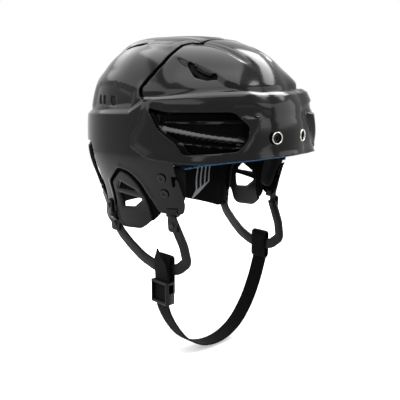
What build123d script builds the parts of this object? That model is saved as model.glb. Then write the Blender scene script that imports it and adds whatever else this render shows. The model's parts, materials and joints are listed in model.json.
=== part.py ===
from build123d import *
from functools import cache
from math import cos, pi, radians, sin, sqrt
import os

# Ice hockey helmet, size medium, in millimetres. The origin is where the head sits: the middle of the head
# opening, on the plane of the brow edge. +Z is up, the brow faces -Y and the wearer's left side is +X.
# Every wall, foam and pad is the space between two grown copies of one head form, so they nest.

# Head form: the outside of the crown. Its widest section lies behind the middle.
HALF_WIDTH = 96.5
WIDEST_Y = 22.5
FRONT_REACH = 144.8
REAR_REACH = 103.7
CROWN_HEIGHT = 112.8
CROWN_FULLNESS = 2.8
SKIRT_DEPTH = 95.0
SKIRT_TAPER = 0.135
TAPER_DEPTH = 60.0

# Walls and clearances
SHELL_WALL = 2.2
SHELL_GAP = 0.35
SEAM_GAP = 2.4
SEAT_GAP = 0.3
FOAM_WALL = 13.0
PAD_WALL = 6.0
TEMPLE_PAD_FACE = -4.1
FOAM_STEP_Z = 40.8

# The brow band stands proud of the crown, and the rear panels slide under it.
BAND_STEP = 6.0
PANEL_STEP = BAND_STEP - SHELL_WALL - SHELL_GAP
SEAM_Y = -20.0
TONGUE_WALL = 2.2
TONGUE_REACH = 24.0
TONGUE_FOOT_Z = 62.0
NECK = 8.0
CEILING_Z = 160.0
FRONT = ("front",)
REAR = ("rear",)
SEAM_FOOT_Z = 60.0
RIDGE_FOOT_Z = 68.0
SIZE_TRAVEL = 14.0
RIDGE_RISE = 2.6

# Side views, as (y, z)
FRONT_LEDGE = [(-150.0, 61.5), (-10.0, 53.0)]
REAR_LEDGE = [(-60.0, 53.5), (-22.0, 53.5), (-6.0, 42.5), (60.0, 38.0), (150.0, 33.0)]
WING_EDGE = [(-24.0, 54.0), (-21.0, 30.0), (-12.5, 17.0), (-12.5, 7.0), (-30.0, -2.5)]
BROW_EDGE = [(-49.0, -4.0), (-84.0, -5.0), (-112.0, -1.0), (-150.0, 3.5)]
ARM_FRONT = [(-23.0, 48.0), (-28.0, 43.0), (-37.0, 22.0), (-62.0, 3.0), (-69.0, -5.0)]
LOBE_FRONT = [(-67.0, -12.0), (-59.0, -40.0), (-56.0, -58.0)]
LOBE_REAR_Y = -31.0
EAR_ARCH = [(-22.5, -42.0), (-17.0, -28.0), (-7.0, -18.0), (9.0, -14.5), (31.0, -32.0), (31.0, -60.0)]
REAR_LEG = [(34.0, -69.0), (48.0, -65.0), (46.0, -39.0), (55.0, 1.0)]
NAPE_EDGE_Z = 4.0

# Side louvre in the band, and the slats behind it, as (y, z)
LOUVRE = [(-31.0, 45.5), (-52.0, 42.0), (-108.0, 43.5), (-121.0, 31.5), (-121.0, 17.5), (-114.0, 8.0),
          (-71.0, 3.0), (-66.0, 12.0), (-46.0, 25.0), (-38.0, 37.0)]
LOUVRE_INSIDE_X = 25.0
INSERT_WALL = 1.8
INSERT_MARGIN = 2.0
SLAT_DEPTH = 3.4
SLATS = [((-48.0, 32.0), (-119.0, 34.0), 2.4), ((-44.0, 26.0), (-111.0, 17.2), 4.4),
         ((-66.0, 15.0), (-117.0, 9.8), 2.4), ((-107.5, 19.5), (-116.5, 33.0), 9.0)]

# Crown openings and ridges seen from above, as (x, y)
FRONT_VENT = [(58.0, -50.0), (64.0, -58.0), (59.0, -78.0), (50.5, -84.0)]
REAR_TOP_VENT = [(50.0, 14.0), (55.0, 20.0), (54.0, 48.0), (50.0, 54.0)]
SIDE_RIDGE = [(25.0, -10.0), (57.0, -10.0), (57.0, -45.0), (49.0, -80.0), (41.0, -98.0), (25.0, -92.0)]
REAR_RIDGE = [(25.0, -12.0), (57.0, -12.0), (54.0, 12.0), (47.0, 14.0), (44.0, 82.0), (25.0, 88.0)]
CENTRE_RIDGE = [(-11.0, -10.0), (-9.0, -88.0), (9.0, -88.0), (11.0, -10.0)]
REAR_CENTRE_RIDGE = [(-11.0, -12.0), (11.0, -12.0), (11.0, 92.0), (-11.0, 92.0)]
REAR_SLOTS = [(17.0, 29.0), (36.0, 50.0)]
REAR_SLOT_Z = (44.5, 55.0)
NAPE_VENT = (22.0, 40.0, 47.0, 56.0)

# Foam edges in side view, as (y, z), and the channels that part the foam into blocks
FRONT_FOAM_EDGE = [(-47.0, CEILING_Z), (-47.0, 17.0), (-57.5, 9.0), (-74.0, 9.0), (-74.0, -2.0),
                   (-112.0, 1.0), (-150.0, 6.0), (-150.0, CEILING_Z)]
REAR_FOAM_EDGE = [(-42.5, CEILING_Z), (-42.5, 6.0), (-66.0, 3.0), (-66.0, -8.0), (-20.0, -8.0), (20.0, -4.0),
                  (62.0, 2.0), (150.0, 2.0), (150.0, CEILING_Z)]
CHANNEL_WIDTH = 3.0
FRONT_CHANNEL_X = 32.0
REAR_CHANNEL_X = 30.0
REAR_CHANNEL_Y = 34.0

# Pads
BROW_PAD_WIDTH = 120.0
BROW_PAD_REAR_Y = -45.0
BROW_PAD_Z = (7.0, 33.0)
CROWN_PAD_SIZE = (70.0, 84.0)
CROWN_PAD_CORNER = 16.0
NAPE_PAD = [(66.0, -1.5), (150.0, -1.5), (150.0, -42.0), (98.0, -38.0), (76.0, -27.0), (66.0, -12.0)]
TEMPLE_PAD = [(-62.0, -11.0), (-34.0, -11.0), (-36.0, -48.0), (-52.0, -48.0)]

# Size guide: a stud under the front crown runs in a slot of the rear shell's tongue.
GUIDE_X = 18.0
GUIDE_Y = -34.0
GUIDE_RADIUS = 2.5
GUIDE_GAP = 0.35

# Visor fixings at the brow
VISOR_X = 18.5
VISOR_Z = 19.0
GROMMET_RADIUS = 6.4
GROMMET_BORE = 4.4
GROMMET_TUBE = 5.3
GROMMET_LIP = 1.0
SPOT_DEPTH = 0.6
FIT_GAP = 0.1
NUT_RADIUS = 6.4
NUT_PLATE = 1.6
NUT_BARREL = 3.9
NUT_BORE = 2.1
NUT_LENGTH = 6.0

# Ear guards, as (y, z)
GUARD_VISIBLE = [(30.0, -32.5), (30.0, -57.5), (24.0, -75.5), (17.0, -79.0), (-8.5, -77.0), (-15.5, -72.5),
                 (-30.0, -59.5), (-21.5, -42.5), (-16.0, -29.0), (-6.5, -19.5), (9.0, -16.0)]
GUARD_FLANGE = [(35.5, -27.0), (35.5, -56.0), (30.0, -57.5), (24.0, -75.5), (17.0, -79.0), (-8.5, -77.0),
                (-15.5, -72.5), (-30.0, -59.5), (-34.0, -47.0), (-47.0, -44.5), (-50.0, -14.0),
                (-30.0, -12.0), (-8.0, -10.5), (11.0, -7.5)]
GUARD_WALL = 2.4
GUARD_RISE = 1.8
GUARD_WINDOWS = [[(22.0, -38.5), (15.5, -30.0), (-8.0, -38.5)],
                 [(23.0, -43.0), (19.0, -57.5), (1.0, -55.5), (-12.0, -46.0)]]
SCREW_PLACES = [(-43.0, -21.0), (-41.0, -37.0)]
SCREW_HEAD_RADIUS = 4.4
SCREW_HEAD = 1.8
SCREW_RADIUS = 2.0
SCREW_RECESS = (4.6, 1.1, 0.9)
SCREW_NUT_RADIUS = 4.6
SCREW_NUT_PLATE = 1.4
CAGE_SLOT = [(-59.5, -17.5), (-55.5, -17.5), (-53.5, -30.0), (-57.0, -30.0)]

# Chin harness. A side strap lies in one leaning plane, where its route is (distance rearwards, height).
STRAP_ORIGIN = (74.0, -45.0, -62.0)
STRAP_TURN = 5.0
STRAP_LEAN = 4.0
STRAP_WALL = 2.4
STRAP_WIDTH = 11.0
STRAP_ROUTE = [(0.0, -1.5), (-5.0, -11.0), (-13.0, -26.0), (-16.5, -42.0), (-3.0, -53.0), (28.0, -54.0),
               (46.0, -48.0), (62.0, -38.0), (76.0, -27.0), (85.5, -13.0)]
STRAP_BENDS = [14.0, 24.0, 6.0, 18.0, 24.0, 40.0, 44.0, 22.0]
CLIP_SLOT_Y = (-52.5, -37.5)
CLIP_SLOT_Z = (-54.5, -50.5)
CLIP_SEAT = (-45.0, -56.0)
CLIP_WIDTH = 12.0
CLIP_WALL = 1.8
CLIP_PLAY = 0.5
CLIP_TAIL = (9.3, 7.0)
REAR_CLIP_TAIL = (7.0, 7.0)
REAR_CLIP_PLATE = 17.5
REAR_CLIP_DROP = 2.6
REAR_CLIP_LIFT = 0.75
RIVET_RADIUS = 1.6
RIVET_HEAD_RADIUS = 2.8
RIVET_HEAD = 0.9
FRONT_RIVET = (-2.0, -6.0)
REAR_RIVET = (41.0, -60.0)
STRAP_REAR_RIVET = (82.5, -18.0)

# Nape strap on each side, as its side view (y, z)
NAPE_STRAP = [(36.0, -63.0), (36.0, -55.0), (47.0, -54.0), (64.0, -44.0), (74.0, -24.0), (79.0, 11.0),
              (88.0, 11.0), (84.0, -24.0), (73.0, -49.0), (52.0, -63.0)]
NAPE_NOTCH = [(76.0, -10.0), (76.0, 12.0), (92.0, 12.0), (92.0, -10.0)]
NAPE_NOTCH_X = 66.0
NAPE_STRAP_WALL = 2.0
NAPE_SNAP = (68.0, -45.5)
SNAP_RADIUS = 3.4
SNAP_DOME = 1.6

# Chin webbing. It hangs in one plane across the helmet, as (x, z), and its tail runs up outside the buckle.
WEBBING_Y = -31.0
WEBBING_WIDTH = 19.0
WEBBING_WALL = 1.6
WEBBING_ROUTE = [(-82.0, -93.5), (-79.5, -106.0), (-76.9, -120.0), (-76.9, -154.0), (-66.0, -176.0),
                 (-49.0, -198.0), (-24.0, -212.0), (4.0, -213.5), (30.0, -203.0), (50.0, -181.0),
                 (63.0, -156.0), (70.5, -126.0)]
WEBBING_BENDS = [60.0, 60.0, 40.0, 90.0, 50.0, 60.0, 60.0, 60.0, 80.0, 90.0]
TAIL_POINT = 17.0
LOOP_INSIDE = 5.6
LOOP_PLAY = 5.6
LOOP_FOOT = 2.0

# Ladder-lock buckle on the wearer's right. Its middle bar is set back behind the other two.
BUCKLE_Z = -139.5
BUCKLE_PITCH = 10.5
BAR_RADIUS = 1.6
RAIL_WALL = 3.2
RAIL_CORNER = 3.0
WEBBING_SIDE_GAP = 0.4
BAR_GAP = 0.2


def superellipse_ratio(height, top):
    """Width of the head form at a height above its widest level, as a share of its full width."""
    return (1 - (height / top) ** CROWN_FULLNESS) ** (1 / CROWN_FULLNESS)


def skirt_ratio(depth):
    """Width of the head form at a depth below its widest level, as a share of its full width."""
    share = min(depth / TAPER_DEPTH, 1.0)
    return 1 - SKIRT_TAPER * share * share * (3 - 2 * share)


def width_ratio(z, grow):
    """Width of the grown head form at any height, as a share of its full width."""
    if z > 0:
        return superellipse_ratio(z, CROWN_HEIGHT + grow)
    return skirt_ratio(-z)


def profile(grow):
    """The grown head form's half profile as one curve, from the top of the crown to the skirt's foot."""
    width = HALF_WIDTH + grow
    top = CROWN_HEIGHT + grow
    power = 2 / CROWN_FULLNESS
    turns = [pi / 16 * step for step in range(7, -1, -1)]
    crown = [(width * cos(turn) ** power, top * sin(turn) ** power) for turn in turns]
    skirt = [(width * skirt_ratio(share * TAPER_DEPTH), -share * TAPER_DEPTH) for share in (0.35, 0.7, 1.0)]
    foot = (width * (1 - SKIRT_TAPER), -SKIRT_DEPTH)
    return Spline((0, top), *crown, *skirt, foot, tangents=[(1, 0), (0, -1)])


@cache
def half_layer(outer, inner, end):
    """The layer between two grown forms for the front or rear half: a half turn stretched to the reach."""
    skin = profile(outer)
    lining = profile(inner)
    outline = [skin, Line(skin @ 1, lining @ 1), lining, Line(lining @ 0, skin @ 0)]
    turned = revolve(Plane.XZ * make_face(outline), Axis.Z, revolution_arc=180)
    if end == "front":
        return Pos(0, WIDEST_Y, 0) * scale(mirror(turned, Plane.XZ), by=(1, FRONT_REACH / HALF_WIDTH, 1))
    return Pos(0, WIDEST_Y, 0) * scale(turned, by=(1, REAR_REACH / HALF_WIDTH, 1))


def layer(outer, inner, room, ends=("front", "rear")):
    """The layer between two grown forms inside a room, as a list with a piece for each half."""
    return [half_layer(outer, inner, end) & room for end in ends]


def joined(pieces):
    """A list of touching pieces as one solid."""
    return pieces[0] + pieces[1:] if len(pieces) > 1 else pieces[0]


def across(points, low=-150.0, high=150.0, radius=0.0):
    """A side-view outline of (y, z) points as a prism across the helmet, from x = low to x = high."""
    face = make_face(Polyline(*points, close=True))
    if radius:
        face = fillet(face.vertices(), radius)
    return extrude(Plane.YZ.offset(low) * face, amount=high - low)


def slab(y_low, y_high, z_low, z_high):
    """A box across the whole helmet."""
    return across([(y_low, z_low), (y_high, z_low), (y_high, z_high), (y_low, z_high)])


def down(points, low=40.0, high=130.0):
    """A plan-view outline of (x, y) points as an upright prism."""
    return extrude(Plane.XY.offset(low) * make_face(Polyline(*points, close=True)), amount=high - low)


def both_sides(shape):
    """A shape with its mirror image."""
    return shape + mirror(shape, Plane.YZ)


def above(ledge):
    """Everything above a side-view line."""
    return across(ledge + [(ledge[-1][0], CEILING_Z), (ledge[0][0], CEILING_Z)])


def under(ledge, drop):
    """Everything below a side-view line, lowered by a distance."""
    lowered = [(y, z - drop) for y, z in ledge]
    return across(lowered + [(ledge[-1][0], -SKIRT_DEPTH), (ledge[0][0], -SKIRT_DEPTH)])


def between(ledge, drop):
    """The sloping slab from a side-view line down to a distance below it."""
    return across(ledge + [(y, z - drop) for y, z in reversed(ledge)])


def surface_plane(side, y, z, grow):
    """A plane on the grown form's side with its normal facing out. side is -1 for the wearer's right."""
    width = HALF_WIDTH + grow
    reach = width * (FRONT_REACH if y < WIDEST_Y else REAR_REACH) / HALF_WIDTH
    ratio = width_ratio(z, grow)
    along = (y - WIDEST_Y) / reach
    x = width * sqrt(ratio * ratio - along * along)
    step = 0.5
    slope = (width_ratio(z + step, grow) - width_ratio(z - step, grow)) / (2 * step)
    normal = Vector(side * x / width ** 2, along / reach, -ratio * slope)
    return Plane(origin=(side * x, y, z), x_dir=Vector(0, 1, 0).cross(normal), z_dir=normal)


def brow_plane(side, grow):
    """A plane at a visor hole on the grown form's brow, with its normal facing out and level."""
    width = HALF_WIDTH + grow
    reach = width * FRONT_REACH / HALF_WIDTH
    ratio = width_ratio(VISOR_Z, grow)
    along = sqrt(ratio * ratio - (VISOR_X / width) ** 2)
    normal = Vector(side * VISOR_X / width ** 2, -along / reach, 0)
    return Plane(origin=(side * VISOR_X, WIDEST_Y - reach * along, VISOR_Z), x_dir=(0, 0, 1), z_dir=normal)


def rod(radius, low, high):
    """A cylinder on the Z axis from low to high."""
    return Pos(0, 0, low) * Cylinder(radius, high - low, align=(Align.CENTER, Align.CENTER, Align.MIN))


def tube(outer, inner, low, high):
    """A tube on the Z axis from low to high."""
    return rod(outer, low, high) - rod(inner, low - 1, high + 1)


def front_shell():
    """Front half of the shell: crown with ridges, proud brow band, vents, visor holes and guide studs."""
    rear_edge = Polyline((SEAM_Y, CEILING_Z), (SEAM_Y, SEAM_FOOT_Z), *WING_EDGE, BROW_EDGE[0])
    rest = Polyline(BROW_EDGE[-1], (BROW_EDGE[-1][0], CEILING_Z), (SEAM_Y, CEILING_Z))
    edge = [rear_edge, Spline(*BROW_EDGE), rest]
    region = extrude(Plane.YZ * make_face(edge), amount=150, both=True)
    ridges = (both_sides(down(SIDE_RIDGE)) + down(CENTRE_RIDGE)) & slab(-150, 0, RIDGE_FOOT_Z, CEILING_Z)
    crown = region & above(FRONT_LEDGE)
    pieces = layer(0, -SHELL_WALL, crown - ridges, FRONT)
    pieces += layer(RIDGE_RISE, -SHELL_WALL, crown & ridges, FRONT)
    pieces += layer(BAND_STEP, -SHELL_WALL, region & between(FRONT_LEDGE, SHELL_WALL), FRONT)
    pieces += layer(BAND_STEP, BAND_STEP - SHELL_WALL, region & under(FRONT_LEDGE, SHELL_WALL), FRONT)
    openings = [both_sides(across(LOUVRE, LOUVRE_INSIDE_X, 150)), both_sides(down(FRONT_VENT))]
    for side in (-1, 1):
        place = brow_plane(side, BAND_STEP)
        openings.append(place * rod(GROMMET_TUBE + FIT_GAP, -12, 3))
        openings.append(place * rod(GROMMET_RADIUS + FIT_GAP, -SPOT_DEPTH, 3))
        stud = Pos(side * GUIDE_X, GUIDE_Y, 0) * rod(GUIDE_RADIUS, 0, CEILING_Z)
        pieces += layer(-SHELL_WALL / 2, -SHELL_WALL - SHELL_GAP - TONGUE_WALL, stud, FRONT)
    return joined(pieces) - openings


def guide_slot(side, margin):
    """Room for a stud along the whole travel, wider by a margin all round."""
    width = 2 * (GUIDE_RADIUS + margin)
    slot = SlotCenterToCenter(SIZE_TRAVEL, width, rotation=90)
    return Pos(side * GUIDE_X, GUIDE_Y - SIZE_TRAVEL / 2, 0) * extrude(slot, amount=CEILING_Z)


def rear_shell():
    """Rear half of the shell: crown, side panels with arms and lobes, and the tongue under the front."""
    front = SEAM_Y + SEAM_GAP
    neck = slab(front, front + NECK, TONGUE_FOOT_Z, CEILING_Z)
    leaf = slab(front - TONGUE_REACH, front, TONGUE_FOOT_Z, CEILING_Z)
    leaf -= [guide_slot(side, GUIDE_GAP) for side in (-1, 1)]
    under_neck = -SHELL_WALL - SHELL_GAP - TONGUE_WALL
    outline = [(front, CEILING_Z), (front, 49.5), *ARM_FRONT, *LOBE_FRONT, (LOBE_REAR_Y, LOBE_FRONT[-1][1]),
               *EAR_ARCH, *REAR_LEG, (62, NAPE_EDGE_Z), (150, NAPE_EDGE_Z), (150, CEILING_Z)]
    region = across(outline)
    ridges = both_sides(down(REAR_RIDGE)) + down(REAR_CENTRE_RIDGE)
    ridges &= above([(-150, RIDGE_FOOT_Z), (0, RIDGE_FOOT_Z), (150, 50)])
    crown = region & above(REAR_LEDGE)
    pieces = layer(0, -SHELL_WALL, crown - ridges - neck)
    pieces += layer(RIDGE_RISE, -SHELL_WALL, (crown & ridges) - neck)
    pieces += layer(0, under_neck, (crown - ridges) & neck, FRONT)
    pieces += layer(RIDGE_RISE, under_neck, crown & ridges & neck, FRONT)
    pieces += layer(-SHELL_WALL - SHELL_GAP, under_neck, leaf, FRONT)
    pieces += layer(PANEL_STEP, -SHELL_WALL, region & between(REAR_LEDGE, SHELL_WALL))
    pieces += layer(PANEL_STEP, PANEL_STEP - SHELL_WALL, region & under(REAR_LEDGE, SHELL_WALL))
    return joined(pieces) - rear_openings()


def rear_openings():
    """Vents, slots and screw seats of the rear shell."""
    openings = [both_sides(down(REAR_TOP_VENT)), both_sides(across(CAGE_SLOT, 50, 150, 1.2))]
    low, high = REAR_SLOT_Z
    for start, end in REAR_SLOTS:
        slot = [(start, low), (end, low), (end + 4, high), (start + 4, high)]
        openings.append(both_sides(across(slot, 60, 150)))
    vent = Pos((NAPE_VENT[0] + NAPE_VENT[1]) / 2, 120, (NAPE_VENT[2] + NAPE_VENT[3]) / 2)
    openings.append(both_sides(vent * Box(NAPE_VENT[1] - NAPE_VENT[0], 60, NAPE_VENT[3] - NAPE_VENT[2])))
    low, high = CLIP_SLOT_Z
    front, rear = CLIP_SLOT_Y
    slot = [(front, low), (rear, low), (rear, high), (front, high)]
    openings.append(both_sides(across(slot, 50, 150, 1.0)))
    for side in (-1, 1):
        for place in SCREW_PLACES:
            seat = surface_plane(side, *place, PANEL_STEP)
            openings.append(seat * rod(SCREW_RADIUS + FIT_GAP, -8, 3))
            openings.append(seat * rod(SCREW_HEAD_RADIUS + 2 * FIT_GAP, -SPOT_DEPTH, 3))
        seat = surface_plane(side, *REAR_RIVET, PANEL_STEP)
        openings.append(seat * rod(RIVET_RADIUS + FIT_GAP, -8, 3))
    return openings


@cache
def left_insert():
    """Louvre behind the left side opening: a backing wall, a rim, three slats and the bar that joins two."""
    face = make_face(Polyline(*LOUVRE, close=True))
    frame = extrude(Plane.YZ.offset(LOUVRE_INSIDE_X) * offset(face, INSERT_MARGIN), amount=125)
    hole = across(LOUVRE, LOUVRE_INSIDE_X, 150)
    top = BAND_STEP - SHELL_WALL - SEAT_GAP
    floor = top - SLAT_DEPTH - INSERT_WALL
    solid = frame - hole
    for start, end, height in SLATS:
        solid += slat(start, end, height) & frame
    return joined(layer(top, floor, solid, FRONT) + layer(floor + INSERT_WALL, floor, frame - solid, FRONT))


def slat(start, end, height):
    """A blade between two side-view points, of a given height."""
    half = height / 2
    low = [(start[0], start[1] - half), (end[0], end[1] - half)]
    high = [(end[0], end[1] + half), (start[0], start[1] + half)]
    return across(low + high, LOUVRE_INSIDE_X, 150)


def insert_room():
    """What the foam leaves free behind each side louvre."""
    face = make_face(Polyline(*LOUVRE, close=True))
    frame = extrude(Plane.YZ.offset(LOUVRE_INSIDE_X - 3) * offset(face, INSERT_MARGIN + 1), amount=130)
    floor = BAND_STEP - SHELL_WALL - SEAT_GAP - SLAT_DEPTH - INSERT_WALL - SEAT_GAP
    return layer(BAND_STEP + 3, floor, both_sides(frame), FRONT)


def side_channels(x):
    """Upright gaps on both sides that part the foam into blocks."""
    return both_sides(Pos(x, 0, 0) * Box(CHANNEL_WIDTH, 400, 400))


def front_liner():
    """Three blocks of foam in the front half, open under the crown vents."""
    gap = SHELL_WALL + SEAT_GAP
    inside = -gap - FOAM_WALL
    region = across(FRONT_FOAM_EDGE)
    foam = layer(-gap, inside, region & above([(y, z - gap) for y, z in FRONT_LEDGE]), FRONT)
    foam += layer(BAND_STEP - gap, inside, region & under(FRONT_LEDGE, gap), FRONT)
    openings = insert_room() + [both_sides(down(FRONT_VENT, 30)), side_channels(FRONT_CHANNEL_X)]
    for side in (-1, 1):
        openings.append(brow_plane(side, BAND_STEP) * rod(NUT_RADIUS + 1, -SHELL_WALL - NUT_LENGTH - 3, 3))
    return joined(foam) - openings


def rear_liner():
    """Five blocks of foam in the rear half, from the temples round the back of the head."""
    gap = SHELL_WALL + SEAT_GAP
    inside = -gap - FOAM_WALL
    region = across(REAR_FOAM_EDGE)
    step_y = SEAM_Y + SEAM_GAP + NECK + 2
    low = [(y, z - gap) for y, z in REAR_LEDGE]
    low_front = [(-150, FOAM_STEP_Z), (step_y, FOAM_STEP_Z)]
    foam = layer(-gap, inside, region & above(low) & slab(step_y, 150, 20, CEILING_Z))
    under_tongue = region & above(low_front) & slab(-150, step_y, 20, CEILING_Z)
    foam += layer(-gap - SHELL_GAP - TONGUE_WALL, inside, under_tongue, FRONT)
    foam += layer(PANEL_STEP - gap, inside, region & under(REAR_LEDGE, gap) & slab(step_y, 150, -80, 60))
    foam += layer(PANEL_STEP - gap, inside, region & slab(-150, step_y, -80, FOAM_STEP_Z), FRONT)
    openings = insert_room() + [both_sides(down(REAR_TOP_VENT, 30))]
    openings.append(both_sides(across(NAPE_NOTCH, NAPE_NOTCH_X, 150)))
    openings += [guide_slot(side, 1.0) for side in (-1, 1)]
    cross_channel = Pos(REAR_CHANNEL_X, REAR_CHANNEL_Y, 0) * Box(
        400, CHANNEL_WIDTH, 400, align=(Align.MIN, Align.CENTER, Align.CENTER))
    openings += [side_channels(REAR_CHANNEL_X), both_sides(cross_channel)]
    return joined(foam) - openings


def brow_pad():
    """Soft pad along the forehead."""
    outer = -SHELL_WALL - SEAT_GAP - FOAM_WALL - SEAT_GAP
    low, high = BROW_PAD_Z
    block = slab(-150, BROW_PAD_REAR_Y, low, high) & Box(BROW_PAD_WIDTH, 400, 400)
    return joined(layer(outer, outer - PAD_WALL, block, FRONT))


def crown_pad():
    """Soft pad under the top of the rear liner."""
    outer = -SHELL_WALL - SEAT_GAP - FOAM_WALL - SEAT_GAP
    disc = Pos(0, WIDEST_Y, 60) * extrude(RectangleRounded(*CROWN_PAD_SIZE, CROWN_PAD_CORNER), amount=100)
    return joined(layer(outer, outer - PAD_WALL, disc))


def nape_pad():
    """Pad that hangs below the rear shell and cradles the back of the head."""
    face = PANEL_STEP - SHELL_WALL - SEAT_GAP - NAPE_STRAP_WALL - SEAT_GAP
    return joined(layer(face, -FOAM_WALL, across(NAPE_PAD), REAR))


@cache
def left_temple_pad():
    """Soft pad inside the temple lobe."""
    return joined(layer(TEMPLE_PAD_FACE, TEMPLE_PAD_FACE - PAD_WALL, across(TEMPLE_PAD, 0, 150), FRONT))


@cache
def left_ear_guard():
    """Ear guard: a flange behind the shell, a raised panel in the arch, and two windows with a bar."""
    face = PANEL_STEP - SHELL_WALL - SEAT_GAP
    panel = across(GUARD_VISIBLE, 0, 150)
    flange = across(GUARD_FLANGE, 0, 150)
    guard = layer(face, face - GUARD_WALL, flange - panel)
    guard += layer(face + GUARD_RISE, face - GUARD_WALL, flange & panel)
    openings = [across(window, 0, 150, 1.5) for window in GUARD_WINDOWS]
    for place in SCREW_PLACES:
        openings.append(surface_plane(1, *place, PANEL_STEP) * rod(SCREW_RADIUS + FIT_GAP, -12, 3))
    return joined(guard) - openings


def guard_screws():
    """The four screws that hold the ear guards and the cage fittings."""
    arm, half, depth = SCREW_RECESS
    screws = []
    for side in (-1, 1):
        for place in SCREW_PLACES:
            head = rod(SCREW_HEAD_RADIUS, -SPOT_DEPTH, SCREW_HEAD - SPOT_DEPTH)
            cross = Box(arm, half, 2 * depth) + Box(half, arm, 2 * depth)
            head -= Pos(0, 0, SCREW_HEAD - SPOT_DEPTH) * cross
            length = SHELL_WALL + SEAT_GAP + GUARD_WALL + SEAT_GAP + SCREW_NUT_PLATE + FIT_GAP
            shank = rod(SCREW_RADIUS, -length, -SPOT_DEPTH)
            screws.append(surface_plane(side, *place, PANEL_STEP) * (head + shank))
    return Compound(children=screws)


def guard_nuts():
    """Flanged nuts behind the ear guards."""
    top = -SHELL_WALL - SEAT_GAP - GUARD_WALL - SEAT_GAP
    nuts = []
    for side in (-1, 1):
        for place in SCREW_PLACES:
            nut = tube(SCREW_NUT_RADIUS, SCREW_RADIUS + FIT_GAP, top - SCREW_NUT_PLATE, top)
            nuts.append(surface_plane(side, *place, PANEL_STEP) * nut)
    return Compound(children=nuts)


def visor_grommets():
    """Metal rings that line the two visor holes."""
    rings = []
    for side in (-1, 1):
        ring = tube(GROMMET_TUBE, GROMMET_BORE, -SHELL_WALL, -SPOT_DEPTH)
        ring += tube(GROMMET_RADIUS, GROMMET_BORE, -SPOT_DEPTH, GROMMET_LIP - SPOT_DEPTH)
        rings.append(brow_plane(side, BAND_STEP) * ring)
    return Compound(children=rings)


def visor_nuts():
    """Threaded nuts behind the visor holes, each a plate with a barrel."""
    top = -SHELL_WALL * FRONT_REACH / HALF_WIDTH - SEAT_GAP
    nuts = []
    for side in (-1, 1):
        nut = rod(NUT_RADIUS, top - NUT_PLATE, top) + rod(NUT_BARREL, top - NUT_LENGTH, -SPOT_DEPTH - 1)
        nut -= rod(NUT_BORE, top - NUT_LENGTH - 1, 3)
        nuts.append(brow_plane(side, BAND_STEP) * nut)
    return Compound(children=nuts)


def strap_plane():
    """The leaning plane of the left side strap: x runs to the rear, y runs up and z points outwards."""
    turn = radians(STRAP_TURN)
    lean = radians(STRAP_LEAN)
    outwards = (cos(turn) * cos(lean), -sin(turn) * cos(lean), -sin(lean))
    return Plane(origin=STRAP_ORIGIN, x_dir=(sin(turn), cos(turn), 0), z_dir=outwards)


@cache
def left_strap():
    """The Y of the chin harness: one moulded strap from the front clip, through the loop, to the rear."""
    band = trace(FilletPolyline(*STRAP_ROUTE, radius=STRAP_BENDS), line_width=STRAP_WIDTH)
    strap = extrude(band, amount=STRAP_WALL / 2, both=True)
    for place in (FRONT_RIVET, STRAP_REAR_RIVET):
        strap -= Pos(*place, 0) * rod(RIVET_RADIUS + FIT_GAP, -5, 5)
    return strap_plane() * strap


def clip_tail(place, reach):
    """The end of a clip on the strap's outer face, in the strap's plane. Its reach is up and down."""
    up, down_reach = reach
    centre = Pos(place[0], place[1] + (up - down_reach) / 2, STRAP_WALL / 2)
    tail = centre * extrude(RectangleRounded(CLIP_WIDTH, up + down_reach, 3), amount=CLIP_WALL)
    return tail - Pos(*place, 0) * rod(RIVET_RADIUS + FIT_GAP, -5, 9)


@cache
def left_front_clip():
    """Clip that loops through the slot in the temple lobe and holds the front end of the side strap."""
    seat = surface_plane(1, *CLIP_SEAT, PANEL_STEP)
    foot = LOBE_FRONT[-1][1]
    top = CLIP_SEAT[1] - CLIP_SLOT_Z[0] - CLIP_PLAY
    bottom = CLIP_SEAT[1] - foot + CLIP_PLAY
    deep = -SHELL_WALL - CLIP_PLAY
    hole = Pos((top + bottom) / 2, 0, (deep + CLIP_PLAY) / 2) * Box(bottom - top, 30, CLIP_PLAY - deep)
    ring = Pos((top + bottom) / 2, 0, (deep + CLIP_PLAY) / 2)
    ring *= Box(bottom - top + 2 * CLIP_WALL, CLIP_WIDTH, CLIP_PLAY - deep + 2 * CLIP_WALL)
    ring = seat * (fillet(ring.edges().filter_by(Axis.Y), 1.2) - hole)
    return ring + strap_plane() * clip_tail(FRONT_RIVET, CLIP_TAIL)


@cache
def left_rear_clip():
    """Clip riveted to the shell's rear leg, which turns into the strap's plane and holds its rear end."""
    seat = surface_plane(1, *REAR_RIVET, PANEL_STEP)
    plate = extrude(RectangleRounded(REAR_CLIP_PLATE, CLIP_WIDTH, 3), amount=CLIP_WALL)
    upper = seat * (Pos(REAR_CLIP_DROP, 0, REAR_CLIP_LIFT) * plate)
    tail = strap_plane() * clip_tail(STRAP_REAR_RIVET, REAR_CLIP_TAIL)
    bend = REAR_CLIP_DROP + REAR_CLIP_PLATE / 2 - 1.5
    top_end = Pos(bend, 0, CLIP_WALL / 2 + REAR_CLIP_LIFT) * Rot(0, 90, 0)
    top_end = seat * (top_end * Rectangle(CLIP_WALL, CLIP_WIDTH))
    low_height = STRAP_REAR_RIVET[1] + REAR_CLIP_TAIL[0] - 3
    low_end = Pos(STRAP_REAR_RIVET[0], low_height, STRAP_WALL / 2 + CLIP_WALL / 2)
    low_end = strap_plane() * (low_end * Rot(90, 0, 0) * Rectangle(CLIP_WIDTH, CLIP_WALL))
    clip = upper + tail + loft([top_end.face(), low_end.face()], ruled=True)
    return clip - seat * rod(RIVET_RADIUS + FIT_GAP, -5, 9)


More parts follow.
